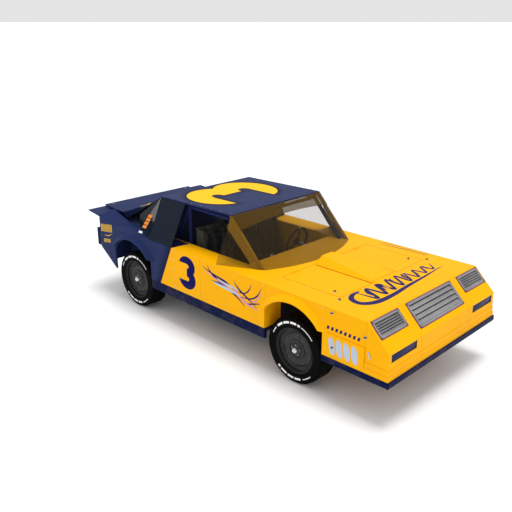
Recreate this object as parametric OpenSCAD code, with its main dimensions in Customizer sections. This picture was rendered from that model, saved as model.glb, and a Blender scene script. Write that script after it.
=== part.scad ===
// Short-track stock car: slab-sided sheet body on a rail and tube chassis.
// X runs forward, Y to the car's left and Z up, all in millimetres.
// The origin is on the ground, at the middle of the overall length and width.

/* [Overall] */
// Distance between the axles
wheelbase = 2580; // [2400:10:3100]
// Reach of the nose ahead of the front axle
front_overhang = 1100; // [1000:10:1320]
// Reach of the tail lip behind the rear axle
rear_overhang = 930; // [850:10:1120]
// Width over the flanks
body_w = 1872; // [1780:2:2250]
// Height of the roof's front edge
roof_h = 1437; // [1300:1:1724]
// Height of the hood, the door shelves and the shoulder line
shoulder_h = 948; // [900:1:1100]

/* [Wheels] */
// Radius of the tyre
tyre_r = 343; // [300:1:412]
// Width of the tyre
tyre_w = 230; // [192:1:276]
// Round of the tyre's shoulders
tyre_round = 30; // [15:1:40]
// Radius of the rim's flange
rim_r = 235; // [196:1:250]
// Distance from the flank in to the tyre's outer face
tyre_inset = 31; // [10:1:60]
// Depth of the wheel's dish behind the tyre's outer face
dish = 48; // [30:1:58]
// Radius of the hub cap
cap_r = 34; // [24:1:45]
// Radius of the spindles that carry the wheels
spindle_r = 22; // [16:1:28]
// Gap between the steered tyre and the walls of its arch
arch_gap = 11; // [8:1:40]

/* [Body] */
// Thickness of the skins
skin = 20; // [12:1:30]
// Width of the shelf from the flank in to the cabin side
shelf_w = 236; // [190:1:290]
// Height where an arch's straight sides turn into its arc
arch_side_h = 668; // [600:1:720]
// Shoulder left above an arch's top
arch_top_drop = 88; // [60:1:120]
// Width of the flare band around an arch
flare_w = 72; // [40:1:90]
// Height at which a flare ends
flare_end_h = 704; // [690:1:760]
// Stand-out of a flare's lip from the flank
flare_out = 42; // [20:1:60]
// Height of the flank's lower edge
sill_h = 469; // [420:1:520]
// Height of the skirt's lower edge
skirt_bottom = 354; // [300:1:400]
// Height of the nose's tip, where its slope meets the bumper cover
nose_tip_h = 719; // [640:1:800]
// Length of the nose's slope, along the car
nose_slope = 227; // [190:1:280]
// Length of the nose's full-width front part, ahead of the side joint
nose_corner = 270; // [250:1:330]
// Stand-out of the bumper cover from the flank
cover_out = 10; // [4:1:20]
// Height of the valance's lower edge
valance_bottom = 398; // [330:1:440]

/* [Hood] */
// Half width of the hood scoop at its base
scoop_base = 205; // [150:1:260]
// Half width of the scoop's top at its rear
scoop_top = 80; // [50:1:120]
// Height of the scoop at its rear
scoop_h = 70; // [40:1:90]
// Length of the scoop
scoop_l = 950; // [800:10:1000]
// Gap around the hood and the deck lid
panel_gap = 6; // [5:1:10]

/* [Cabin] */
// Distance from the front axle back to the windshield's foot
windshield_back = 600; // [560:1:640]
// Forward bow of the windshield's foot at the middle
windshield_bow = 180; // [120:1:220]
// Distance from the front axle back to the roof's front edge
roof_front_back = 1065; // [1000:1:1120]
// Distance from the rear axle forward to the roof's rear edge
roof_rear_ahead = 335; // [280:1:400]
// Drop of the roof from its front edge to its rear edge
roof_drop = 22; // [0:1:60]
// Distance from the front axle back to the cabin opening
opening_back = 839; // [800:1:900]
// Distance from the rear axle forward to the side window's rear edge
window_rear_ahead = 760; // [700:1:800]
// Thickness of the windows
glass = 8; // [5:1:12]
// Radius of the cage tubes
cage_r = 22; // [18:1:28]

/* [Tail] */
// Height of the deck lid's front edge
deck_h = 1052; // [1000:1:1150]
// Rise of the deck lid to its rear edge
deck_rise = 24; // [0:1:50]
// Length of the deck lid
lid_l = 402; // [330:1:480]
// Reach of the lip behind the tail panel
lip = 245; // [180:1:290]
// Height of the tail panel's lower edge
tail_bottom = 618; // [560:1:680]
// Depth of the rear bumper behind the tail panel
rear_bumper_d = 70; // [40:1:100]

/* [Chassis] */
// Height of the frame rails' lower edge
rail_bottom = 140; // [110:1:180]
// Height of the rails' section
rail_h = 100; // [80:1:120]
// Width of the rails' section
rail_w = 60; // [50:1:80]
// Distance from the centreline to the middle of a rail
rail_y = 430; // [380:1:440]
// Radius of the tow eyes' holes
tow_r = 16; // [12:1:20]
// Thickness of the tow eyes' plates
tow_t = 12; // [8:1:20]
// Radius of the rear axle's tube
axle_tube_r = 38; // [30:1:45]
// Height of the ball joints above and below the front axle's line
ball_rise = 110; // [90:1:130]
// Width of the front arms' bars
arm_w = 24; // [18:1:30]

/* [Seats and steering] */
// Distance from the centreline to the middle of a seat
seat_y = 400; // [360:1:420]
// Width of a seat
seat_w = 400; // [350:1:440]
// Height of the seat back's top
seat_top = 1120; // [1050:1:1200]
// Radius of the steering wheel's rim
steer_r = 180; // [160:1:200]
// Radius of the section of the steering wheel's rim
steer_grip = 13; // [10:1:18]

/* [Hidden] */
$fn = 64;
run = 0.3;                                     // gap where curved faces meet
overall_l = front_overhang + wheelbase + rear_overhang;
nose_x = overall_l / 2;
tail_x = -overall_l / 2;
front_x = nose_x - front_overhang;             // front axle
rear_x = front_x - wheelbase;                  // rear axle
half_w = body_w / 2;
cabin_y = half_w - shelf_w;                    // inner edge of the shelf
wheel_y = half_w - tyre_inset - tyre_w / 2;    // middle plane of a wheel
axle_h = tyre_r;

// A steered tyre's widest sweep sets the arch
core_r = tyre_r - tyre_round;
core_w = tyre_w / 2 - tyre_round;
arch_half = sqrt(core_r * core_r + core_w * core_w) + tyre_round + arch_gap;
arch_top = shoulder_h - arch_top_drop;
arch_rise = arch_top - arch_side_h;
arch_r = (arch_rise * arch_rise + arch_half * arch_half) / (2 * arch_rise);
arch_z = arch_top - arch_r;

nose_seam_x = front_x + arch_half + 5;
nose_tip_x = nose_x - 30;
nose_top_x = nose_tip_x - nose_slope;
nose_joint_x = nose_x - nose_corner;
bumper_x = nose_x - 14;
windshield_x = front_x - windshield_back;
roof_front_x = front_x - roof_front_back;
roof_rear_x = rear_x + roof_rear_ahead;
opening_x = front_x - opening_back;
door_front_x = front_x - arch_half;
window_rear_x = rear_x + window_rear_ahead;
door_rear_x = window_rear_x + 48;
quarter_front_x = rear_x + arch_half;
hood_rear_x = front_x - 360;
bulkhead_x = rear_x + arch_half + 20;
firewall_x = windshield_x - 40;
tail_panel_x = tail_x + lip;
lid_front_x = tail_x + lid_l;
lid_half = cabin_y;
roof_rear_h = roof_h - roof_drop;
rail_top = rail_bottom + rail_h;
member_top = rail_top - 10;                    // of the cross members
rail_front_x = nose_x - 475;
rail_rear_x = tail_panel_x + 60;
inner_t = 15;                                  // inner panels
floor_t = 10;
floor_top = rail_top + floor_t;
tower_out = 110;                               // front arm towers either side of the axle
kingpin_top = axle_h + ball_rise;
kingpin_low = axle_h - ball_rise;
lower_arm_z = rail_top - 45;
// Outside hinges: axis in X and Z, and the middle of the left one along Y
hinge_r = 4.5;
hinge_l = 30;
hood_hinge = [hood_rear_x + panel_gap / 2, 500, shoulder_h + 5];
lid_hinge = [lid_front_x - panel_gap / 2, 450, deck_h + 5];
quarter_x = rear_x - 398;                      // where the shoulder starts to rise to the tail
quarter_h = shoulder_h - 28;
tail_top = deck_h - 18;
sail_rear_x = roof_rear_x - 449;               // rear edge of the sail panels
sail_rear_h = 155;
riser_t = 12;                                  // wall in front of the deck lid
roof_slope = roof_drop / (roof_front_x - roof_rear_x);
cage_y = cabin_y - inner_t - cage_r - 12;      // middle of the cage's side tubes
cage_head = [roof_front_x - 30, cage_y, roof_rear_h - skin - cage_r - 4];
cage_foot = [windshield_x - 65, cage_y, shoulder_h - skin - cage_r - 4];
column_r = 20;
steer_at = [opening_x - 291, seat_y, shoulder_h - 78];
steer_tilt = 12;                               // of the column from level
sides = [1, -1];                               // left, right

// ---- helpers ----

// Box from its low corner to its high corner
module block(low, high) {
    translate(low) cube(high - low);
}

// The same thing on the left and, mirrored, on the right
module both() {
    children();
    mirror([0, 1, 0]) children();
}

module on_side(s) {
    if (s > 0) children();
    else mirror([0, 1, 0]) children();
}

// Turns what stands on the origin along Z into place between two points
module between(p, q) {
    d = q - p;
    translate(p) rotate([0, acos(d.z / norm(d)), atan2(d.y, d.x)]) children();
}

module tube(p, q, r) {
    between(p, q) cylinder(r = r, h = norm(q - p));
}

module bar(p, q, w) {
    between(p, q) translate([-w / 2, -w / 2, 0]) cube([w, w, norm(q - p)]);
}

// Side profile in X and Z, drawn out from y0 to y1
module side_profile(points, y0, y1) {
    translate([0, y1, 0]) rotate([90, 0, 0]) linear_extrude(y1 - y0) polygon(points);
}

// Cross profile in Y and Z, drawn out from x0 to x1
module cross_profile(points, x0, x1) {
    translate([x0, 0, 0]) rotate([90, 0, 90]) linear_extrude(x1 - x0) polygon(points);
}

// Plate on a fan of points, as thick as the vector d
module slab(points, d) {
    n = len(points);
    facing = cross(points[1] - points[0], points[2] - points[0]) * d;
    pts = facing > 0 ? points : [for (i = [n - 1:-1:0]) points[i]];
    polyhedron(
        concat(pts, [for (p = pts) p + d]),
        concat(
            [for (k = [1:n - 2]) [0, k, k + 1]],
            [for (k = [1:n - 2]) [n, n + k + 1, n + k]],
            [for (k = [0:n - 1]) let (j = (k + 1) % n) [j, k, k + n]],
            [for (k = [0:n - 1]) let (j = (k + 1) % n) [j, k + n, j + n]]
        )
    );
}

// Opening of a wheel arch, cut in from the outside of the left flank
module arch_cut(x, inner_y) {
    translate([x, half_w + 100, arch_z]) rotate([90, 0, 0])
        intersection() {
            cylinder(r = arch_r, h = half_w + 100 - inner_y, $fn = 96);
            translate([-arch_half, arch_side_h - arch_z, 0])
                cube([2 * arch_half, arch_r, half_w + 100 - inner_y]);
        }
    block([x - arch_half, inner_y, 0], [x + arch_half, half_w + 100, arch_side_h + 1]);
}

// Raised band around the left side's arch: slopes out from the flank to a lip at the opening
module flare(x) {
    intersection() {
        translate([x, half_w, arch_z]) rotate([-90, 0, 0])
            rotate_extrude($fn = 96)
                polygon([
                    [arch_r, 0], [arch_r + flare_w, 0], [arch_r + flare_w, 2],
                    [arch_r + 14, flare_out], [arch_r, flare_out]
                ]);
        block([x - arch_half - flare_w, half_w, flare_end_h],
              [x + arch_half + flare_w, half_w + flare_out, shoulder_h - 4]);
    }
}

// Fixed half of a hinge: barrel and a leaf reaching leaf_l away from the moving panel
module hinge_fixed(at, leaf_l) {
    dir = at.x > 0 ? -1 : 1;
    translate(at) {
        rotate([90, 0, 0]) cylinder(r = hinge_r, h = hinge_l, center = true);
        block([min(0, dir * leaf_l), -hinge_l / 2, -5.5], [max(0, dir * leaf_l), hinge_l / 2, -1]);
    }
}

// Moving half: two barrels beside the fixed one, and their leaves on the panel
module hinge_moving(at) {
    dir = at.x > 0 ? 1 : -1;
    translate(at)
        for (s = sides)
            translate([0, s * (hinge_l + run), 0]) {
                rotate([90, 0, 0]) cylinder(r = hinge_r, h = hinge_l, center = true);
                block([min(0, dir * 32), -hinge_l / 2, -5.5], [max(0, dir * 32), hinge_l / 2, -1]);
            }
}

// ---- chassis ----

module frame_rails() {
    horn_x = nose_tip_x - skin;
    color("dimgray") {
        difference() {
            union() {
                both() {
                    block([rail_rear_x, rail_y - rail_w / 2, rail_bottom],
                          [rail_front_x, rail_y + rail_w / 2, rail_top]);
                    // horns up to the nose's bumper cover
                    bar([rail_front_x - 30, rail_y, rail_top - 30],
                        [horn_x - 40, rail_y, sill_h + 60], 46);
                    block([horn_x - 70, rail_y - 25, sill_h + 35], [horn_x, rail_y + 25, sill_h + 85]);
                    // towers that carry the upper arms
                    for (s = sides)
                        block([front_x + s * tower_out - 20, rail_y - 20, rail_top - 1],
                              [front_x + s * tower_out + 20, rail_y + 20, kingpin_top]);
                    // posts that carry the tail panel
                    block([tail_panel_x + skin, rail_y - 25, rail_bottom + 20],
                          [rail_rear_x + 1, rail_y + 25, rail_top]);
                    block([tail_panel_x + skin, rail_y - 25, rail_top - 20],
                          [tail_panel_x + skin + 40, rail_y + 25, tail_bottom + 60]);
                }
                // cross members
                for (x = [rail_front_x - 40, front_x - tower_out, firewall_x, bulkhead_x, rail_rear_x + 40])
                    block([x - 30, -rail_y, rail_bottom + 10], [x + 30, rail_y, member_top]);
                // tow eye plates
                for (x = [rail_front_x, rail_rear_x])
                    translate([x, 0, rail_bottom])
                        block([x > 0 ? -70 : -90, -60, 0], [x > 0 ? 90 : 70, 60, tow_t]);
            }
            for (x = [rail_front_x + 50, rail_rear_x - 50])
                translate([x, 0, rail_bottom - 1]) cylinder(r = tow_r, h = tow_t + 2);
        }
    }
}

module floor_pan() {
    color("darkslategray")
        block([bulkhead_x, -cabin_y, rail_top], [firewall_x, cabin_y, floor_top]);
}

module firewall() {
    color("gray")
        block([firewall_x, -cabin_y, rail_top], [firewall_x + floor_t, cabin_y, shoulder_h - skin]);
}

module rear_bulkhead() {
    color("midnightblue") {
        block([bulkhead_x - floor_t, -cabin_y, rail_top],
              [bulkhead_x, cabin_y, shoulder_h]);
        // parcel shelf back to the riser
        block([lid_front_x + riser_t, -cabin_y, shoulder_h - floor_t],
              [bulkhead_x - 1, cabin_y, shoulder_h]);
    }
}

// Main hoop, halo, front legs, braces and the bar under the dash
module roll_cage() {
    hoop_x = window_rear_x + 15;
    bar_x = cage_head.x;
    top_z = cage_head.z;
    hoop_top = [hoop_x, cage_y, top_z];
    // each row: one end, other end
    tubes = [
        [[hoop_x, cage_y, floor_top], hoop_top],
        [hoop_top, cage_head],
        [cage_head, cage_foot],
        [[cage_foot.x, cage_y, floor_top], cage_foot],
        [[bulkhead_x + cage_r, cage_y, shoulder_h - 260], hoop_top]
    ];
    color("navy") {
        both()
            for (t = tubes) tube(t[0], t[1], cage_r);
        both()
            for (p = [hoop_top, cage_head, cage_foot]) translate(p) sphere(r = cage_r + 3);
        // cross bars: place along X, height
        for (c = [[hoop_x, top_z], [bar_x, top_z], [hoop_x, 700], [cage_foot.x, shoulder_h - 128]])
            tube([c[0], -cage_y, c[1]], [c[0], cage_y, c[1]], cage_r - 3);
        // bracket plates that carry the roof
        for (x = [hoop_x, bar_x])
            both() block([x - 20, cage_y - 15, top_z],
                         [x + 20, cage_y + 15, roof_rear_h - skin - 0.5 + (x - roof_rear_x) * roof_slope]);
    }
}

// ---- cabin ----

module roof() {
    color("darkslateblue")
        side_profile([
            [roof_rear_x, roof_rear_h - skin], [roof_front_x, roof_h - skin],
            [roof_front_x, roof_h], [roof_rear_x, roof_rear_h]
        ], -cabin_y, cabin_y);
}

module cowl_panel() {
    color("gold") {
        difference() {
            block([opening_x, -cabin_y, shoulder_h - skin], [hood_rear_x, cabin_y, shoulder_h]);
            both() tube(cage_head, cage_foot, cage_r + run);
        }
        both() hinge_fixed(hood_hinge, 28);
    }
}

module dashboard() {
    color("goldenrod")
        difference() {
            block([opening_x, -cabin_y + inner_t, shoulder_h - 190],
                  [opening_x + skin, cabin_y - inner_t, shoulder_h - skin]);
            steer_frame() cylinder(r = column_r + run, h = 600);
        }
}

// Curved sheet from the straight roof edge to the bowed foot on the cowl
module windshield() {
    steps = 12;
    foot_y = cabin_y - 1;
    foot = function (u) [windshield_x + windshield_bow * (1 - u * u), u * foot_y, shoulder_h + run];
    head = function (u) [roof_front_x + glass + 3 + 20 * (1 - u * u), u * foot_y, roof_h - 4];
    back = [-glass, 0, 0];
    us = [for (i = [-steps:steps]) i / steps];
    n = len(us);
    rows = concat(
        [for (u = us) foot(u)], [for (u = us) head(u)],
        [for (u = us) foot(u) + back], [for (u = us) head(u) + back]);
    color("darkgoldenrod", 0.5)
        polyhedron(rows, concat(
            [for (i = [0:n - 2]) [i, i + n, i + 1]],
            [for (i = [0:n - 2]) [i + 1, i + n, i + n + 1]],
            [for (i = [0:n - 2]) [i + 2 * n, i + 2 * n + 1, i + 3 * n]],
            [for (i = [0:n - 2]) [i + 2 * n + 1, i + 3 * n + 1, i + 3 * n]],
            [for (i = [0:n - 2]) [i, i + 1, i + 2 * n]],
            [for (i = [0:n - 2]) [i + 1, i + 2 * n + 1, i + 2 * n]],
            [for (i = [0:n - 2]) [i + n, i + 3 * n, i + n + 1]],
            [for (i = [0:n - 2]) [i + n + 1, i + 3 * n, i + 3 * n + 1]],
            [[0, 2 * n, n], [n, 2 * n, 3 * n]],
            [[n - 1, 2 * n - 1, 3 * n - 1], [2 * n - 1, 4 * n - 1, 3 * n - 1]]
        ));
}

module a_pillars() {
    color("goldenrod")
        both()
            slab([
                [roof_front_x - 40, cabin_y - 20, roof_h - skin - 1],
                [roof_front_x - 4, cabin_y - 20, roof_h - skin - 1],
                [windshield_x - 14, cabin_y - 20, shoulder_h],
                [windshield_x - 56, cabin_y - 20, shoulder_h]
            ], [0, 20, 0]);
}

module deflector_windows() {
    color("goldenrod", 0.5)
        both()
            slab([
                [roof_front_x - 10, cabin_y + 1, roof_h - skin],
                [windshield_x - 20, cabin_y + 1, shoulder_h + run],
                [roof_front_x - 5, half_w - glass - 2, shoulder_h + run]
            ], [0, glass, 0]);
}

module quarter_windows() {
    head_z = roof_rear_h - skin + (window_rear_x - roof_rear_x) * roof_slope;
    color("midnightblue", 0.6)
        both()
            slab([
                [roof_rear_x, cabin_y + 1, roof_rear_h - skin],
                [window_rear_x, cabin_y + 1, head_z],
                [window_rear_x, half_w - glass - 2, shoulder_h + run],
                [roof_rear_x + 20, half_w - glass - 2, shoulder_h + run]
            ], [0, glass, 0]);
}

module sail_panels() {
    color("midnightblue", 0.8)
        both()
            slab([
                [roof_rear_x - 1, cabin_y + 1, roof_rear_h - 5],
                [roof_rear_x + 19, half_w - glass - 2, shoulder_h + run],
                [sail_rear_x, cabin_y + 12, shoulder_h + run],
                [sail_rear_x - 11, cabin_y + 2, shoulder_h + sail_rear_h]
            ], [0, glass, 0]);
}

module rear_window() {
    color("midnightblue", 0.7)
        slab([
            [roof_rear_x - 1, -cabin_y + 8, roof_rear_h - 3],
            [roof_rear_x - 1, cabin_y - 8, roof_rear_h - 3],
            [lid_front_x + riser_t + 2, cabin_y - 8, shoulder_h + glass + run],
            [lid_front_x + riser_t + 2, -cabin_y + 8, shoulder_h + glass + run]
        ], [0, 0, -glass]);
}

// ---- body sides ----

module door(s) {
    on_side(s) color("gold")
        block([door_rear_x, cabin_y, sill_h], [door_front_x, half_w, shoulder_h]);
}
module door_left() { door(1); }
module door_right() { door(-1); }

module inner_panels() {
    color("goldenrod")
        both()
            side_profile([
                [bulkhead_x, floor_top], [firewall_x, floor_top], [firewall_x, shoulder_h - skin],
                [opening_x, shoulder_h - skin], [opening_x, shoulder_h], [bulkhead_x, shoulder_h]
            ], cabin_y - inner_t, cabin_y);
}

module fender(s) {
    on_side(s) color("gold") {
        difference() {
            block([door_front_x, half_w - skin, arch_side_h], [nose_seam_x, half_w, shoulder_h]);
            arch_cut(front_x, half_w - skin - 10);
        }
        block([door_front_x, cabin_y, shoulder_h - skin], [nose_seam_x, half_w, shoulder_h]);
        flare(front_x);
    }
}
module fender_left() { fender(1); }
module fender_right() { fender(-1); }

module quarter(s) {
    flank = [
        [door_rear_x, sill_h], [door_rear_x, shoulder_h], [roof_rear_x, shoulder_h],
        [quarter_x, quarter_h], [tail_panel_x, tail_top], [tail_panel_x, tail_bottom],
        [rear_x - arch_half, sill_h - 72], [quarter_front_x, sill_h]
    ];
    on_side(s) color("darkslateblue") {
        difference() {
            side_profile(flank, half_w - skin, half_w);
            arch_cut(rear_x, half_w - skin - 10);
        }
        block([bulkhead_x - 1, cabin_y, sill_h], [door_rear_x, half_w, shoulder_h]);
        // sloping top between the shoulder and the deck
        slab([
            [bulkhead_x, half_w - 1, shoulder_h], [quarter_x, half_w - 1, quarter_h],
            [lid_front_x + 200, cabin_y, shoulder_h], [bulkhead_x, cabin_y, shoulder_h]
        ], [0, 0, -skin]);
        slab([
            [quarter_x, half_w - 1, quarter_h], [tail_panel_x, half_w - 1, tail_top],
            [tail_panel_x, lid_half, deck_h + 8], [lid_front_x, lid_half, deck_h],
            [lid_front_x + 200, cabin_y, shoulder_h]
        ], [0, 0, -skin]);
        flare(rear_x);
    }
}
module quarter_left() { quarter(1); }
module quarter_right() { quarter(-1); }

module side_skirts() {
    color("midnightblue")
        both()
            block([quarter_front_x, half_w - 34, skirt_bottom], [door_front_x, half_w - 4, sill_h]);
}

// ---- nose and tail ----

module nose_cover() {
    outline = [
        [nose_seam_x, nose_tip_h], [nose_seam_x, shoulder_h], [nose_top_x, shoulder_h],
        [nose_tip_x, nose_tip_h]
    ];
    hollow = [
        [nose_seam_x - 1, nose_tip_h - 1], [nose_seam_x - 1, shoulder_h - skin],
        [nose_top_x - 8, shoulder_h - skin], [nose_tip_x - skin - 9, nose_tip_h - 1]
    ];
    color("gold") {
        difference() {
            side_profile(outline, -half_w, half_w);
            side_profile(hollow, -half_w + skin, half_w - skin);
            // windows for the grilles
            for (g = grille_table) slope_box(g, 0, -60, 60);
        }
        difference() {
            scoop(nose_seam_x, nose_top_x);
            block([nose_seam_x, -scoop_base, 0], [nose_top_x, scoop_base, shoulder_h - 1]);
        }
    }
}

// Grilles in the nose's slope: middle across the car, half width, top and bottom drop along the slope
slope_a = atan2(shoulder_h - nose_tip_h, nose_tip_x - nose_top_x);
slope_l = norm([nose_tip_x - nose_top_x, shoulder_h - nose_tip_h]);
grille_table = [
    [0, 385, 14, 262],
    [710, 200, 14, 182],
    [-710, 200, 14, 182]
];

// Box on the slope for one row of the table, shrunk by a margin, from n0 to n1 along the outward normal
module slope_box(g, margin, n0, n1) {
    translate([nose_top_x, 0, shoulder_h]) rotate([0, slope_a, 0])
        block([g[2] + margin, g[0] - g[1] + margin, n0], [g[3] - margin, g[0] + g[1] - margin, n1]);
}

// Frame and slats of each grille
module grilles() {
    rim = 26;
    slats = 4;
    color("gray")
        for (g = grille_table) {
            difference() {
                slope_box(g, run, -skin, 6);
                slope_box(g, rim, -skin - 1, 7);
            }
            top = g[2] + rim;
            pitch = (g[3] - rim - top) / slats;
            for (k = [0:slats - 1])
                slope_box([g[0], g[1] - rim + 1, top + pitch * (k + 0.15), top + pitch * (k + 0.7)],
                          0, -skin + 4, -2);
        }
}

module front_bumper() {
    step_1 = sill_h + 100;
    step_2 = sill_h + 45;
    low = bumper_x - nose_tip_x;
    front = [
        [nose_seam_x, sill_h], [nose_seam_x, nose_tip_h], [nose_tip_x, nose_tip_h],
        [nose_tip_x + 4, step_1], [nose_tip_x + 10, step_1], [nose_tip_x + 10, step_2],
        [nose_tip_x + low, step_2], [nose_tip_x + low, sill_h]
    ];
    color("gold")
        difference() {
            union() {
                side_profile(front, -half_w, half_w);
                both()
                    block([nose_seam_x, half_w - 1, sill_h],
                          [nose_joint_x, half_w + cover_out, nose_tip_h - 16]);
                both()
                    block([nose_joint_x, half_w - 1, sill_h], [bumper_x, half_w + cover_out, step_2]);
                both()
                    block([nose_joint_x, half_w - 1, sill_h],
                          [nose_tip_x + 8, half_w + cover_out / 2, step_1]);
            }
            side_profile([
                [nose_seam_x - 1, sill_h - 1], [nose_seam_x - 1, nose_tip_h + 1],
                [nose_tip_x - skin, nose_tip_h + 1], [nose_tip_x - skin, sill_h - 1]
            ], -half_w + skin, half_w - skin);
            // recesses for the lower lamps
            both()
                block([nose_tip_x - 6, 500, nose_tip_h - 88], [nose_x, 892, nose_tip_h - 12]);
        }
}

// Lower lip around the nose, rounded along its front and its ends
module front_valance() {
    front_r = 30;
    end_r = 24;
    depth = sill_h - valance_bottom;
    far = half_w + nose_x - bumper_x;
    color("midnightblue")
        difference() {
            intersection() {
                translate([0, far + 1, valance_bottom]) rotate([90, 0, 0])
                    linear_extrude(2 * far + 2) {
                        translate([nose_seam_x, 0]) square([nose_x - front_r - nose_seam_x, depth]);
                        translate([nose_seam_x, front_r])
                            square([nose_x - nose_seam_x, depth - front_r]);
                        translate([nose_x - front_r, front_r]) circle(r = front_r);
                    }
                translate([nose_seam_x - 1, 0, valance_bottom]) rotate([90, 0, 90])
                    linear_extrude(nose_x - nose_seam_x + 2) {
                        translate([end_r - far, 0]) square([2 * (far - end_r), depth]);
                        translate([-far, end_r]) square([2 * far, depth - end_r]);
                        for (s = sides)
                            translate([s * (far - end_r), end_r]) circle(r = end_r);
                    }
                block([nose_seam_x - 5, -far - 5, valance_bottom - 5], [nose_x + 5, far + 5, sill_h]);
            }
            block([nose_seam_x - 1, -half_w + 50, valance_bottom - 1],
                  [bumper_x - 70, half_w - 50, sill_h + 1]);
        }
}

module tail_panel() {
    color("darkslateblue") {
        side_profile([
            [tail_panel_x, tail_bottom], [tail_panel_x + skin, tail_bottom],
            [tail_panel_x + skin, tail_top - skin - 4], [tail_panel_x, tail_top - skin - 4]
        ], -half_w + skin, half_w - skin);
        // riser in front of the lid, with the fixed halves of its hinges
        block([lid_front_x, -lid_half, shoulder_h - skin], [lid_front_x + riser_t, lid_half, deck_h]);
        both() hinge_fixed(lid_hinge, riser_t);
        // lip that reaches back across the whole width
        side_profile([
            [tail_x, deck_h - 12], [tail_x, deck_h - 2],
            [tail_panel_x, tail_top], [tail_panel_x, tail_top - skin - 4]
        ], -half_w, half_w);
    }
}

module rear_bumper() {
    color("midnightblue")
        block([tail_panel_x - rear_bumper_d, -half_w, tail_bottom + 12],
              [tail_panel_x, half_w, tail_bottom + 232]);
}

// ---- heavy masses ----

module engine_block() {
    color("darkred")
        block([front_x - 430, -240, member_top], [front_x + 230, 240, shoulder_h - 190]);
}

module fuel_cell() {
    color("black")
        block([rail_rear_x + 40, -300, member_top], [rear_x - 210, 300, 560]);
}

// ---- seats and steering ----

// Bucket shell: pan, back and side wings
module seat(s) {
    front = window_rear_x + 520;
    back = window_rear_x + 70;
    pan_z = floor_top + 150;
    color("dimgray")
        translate([0, s * seat_y, 0]) {
            side_profile([
                [front, pan_z + 60], [front, pan_z - 10], [back + 40, pan_z - 40],
                [back - 20, pan_z], [back - 20, seat_top], [back + 10, seat_top],
                [back + 50, pan_z + 20]
            ], -seat_w / 2, seat_w / 2);
            for (w = [-1, 1])
                translate([0, w * (seat_w / 2 - 12), 0])
                    side_profile([
                        [front, pan_z - 10], [front, pan_z + 150], [back + 200, pan_z + 230],
                        [back + 130, seat_top - 250], [back + 90, seat_top - 20],
                        [back - 20, seat_top - 20], [back - 20, pan_z], [back + 40, pan_z - 40]
                    ], -12, 12);
            // mounts down to the floor
            for (x = [back + 60, front - 60])
                for (w = [-1, 1])
                    translate([x, w * 130, 0]) block([-15, -15, floor_top], [15, 15, pan_z]);
        }
}
module seat_left() { seat(1); }
module seat_right() { seat(-1); }

// Cushion on the pan and pad on the back
module seat_pad(s) {
    front = window_rear_x + 520;
    back = window_rear_x + 70;
    pan_z = floor_top + 150;
    wide = seat_w / 2 - 24 - 4;
    color("black")
        translate([0, s * seat_y, 0])
            side_profile([
                [front - 10, pan_z + 59.5], [back + 51, pan_z + 21], [back + 13, seat_top - 30],
                [back + 70, seat_top - 40], [back + 100, pan_z + 110], [front - 10, pan_z + 130]
            ], -wide, wide);
}
module seat_pad_left() { seat_pad(1); }
module seat_pad_right() { seat_pad(-1); }

// Stands what is built along Z on the steering axis, pointing forwards and down
module steer_frame() {
    translate(steer_at) rotate([0, 90 + steer_tilt, 0]) children();
}

module steering_wheel() {
    color("midnightblue")
        steer_frame() {
            rotate_extrude($fn = 96) translate([steer_r - steer_grip, 0]) circle(r = steer_grip);
            cylinder(r = 30, h = 40);
            for (a = [0, 120, 240])
                rotate([0, 0, a + 60]) block([20, -14, 4], [steer_r - 20, 14, 9]);
        }
}

module steering_column() {
    reach = (opening_x + skin - steer_at.x) / cos(steer_tilt);
    color("silver")
        steer_frame()
            translate([0, 0, 40 + run]) cylinder(r = column_r, h = reach);
}

module front_arms() {
    kp = [front_x, wheel_y, 0];
    // the slanted bars' corners just reach the rail
    arm_lead = 0.5 + 0.5 * arm_w * tower_out / (wheel_y - rail_y - rail_w / 2);
    color("silver")
        both() {
            for (s = sides) {
                bar([front_x + s * tower_out, rail_y + rail_w / 2 + arm_lead, lower_arm_z],
                    [kp.x, kp.y, kingpin_low - 16], arm_w);
                bar([front_x + s * tower_out, rail_y + 20 + arm_lead, kingpin_top - 30],
                    [kp.x, kp.y, kingpin_top + 16], arm_w);
            }
            translate([kp.x, kp.y, kingpin_low - 28]) cylinder(r = 24, h = 28);
            translate([kp.x, kp.y, kingpin_top]) cylinder(r = 24, h = 28);
        }
}

module rear_axle() {
    hub_y = wheel_y + tyre_w / 2 - dish;
    color("dimgray") {
        translate([rear_x, -hub_y + 34, axle_h]) rotate([-90, 0, 0])
            cylinder(r = axle_tube_r, h = 2 * hub_y - 68);
        both()
            translate([rear_x, hub_y - 35, axle_h]) rotate([-90, 0, 0])
                cylinder(r = spindle_r, h = 35);
        translate([rear_x, 0, axle_h]) sphere(r = 120);
        // springs on the rails
        both()
            translate([rear_x, rail_y, rail_top]) cylinder(r = 28, h = axle_h - rail_top);
    }
}

// ---- opening panels ----

// Wedge of the scoop between two stations
module scoop(x0, x1) {
    start = hood_rear_x + panel_gap;
    intersection() {
        cross_profile([
            [-scoop_base, shoulder_h - 2], [scoop_base, shoulder_h - 2], [scoop_base, shoulder_h],
            [scoop_top, shoulder_h + scoop_h], [-scoop_top, shoulder_h + scoop_h],
            [-scoop_base, shoulder_h]
        ], x0, x1);
        side_profile([
            [start, shoulder_h - 3], [start, shoulder_h + scoop_h],
            [start + scoop_l, shoulder_h], [start + scoop_l, shoulder_h - 3]
        ], -scoop_base, scoop_base);
    }
}

module hood() {
    x0 = hood_rear_x + panel_gap;
    x1 = nose_seam_x - panel_gap;
    y = cabin_y - panel_gap;
    color("gold") {
        block([x0, -y, shoulder_h - skin], [x1, y, shoulder_h]);
        scoop(x0, x1);
        both() hinge_moving(hood_hinge);
    }
}

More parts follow.
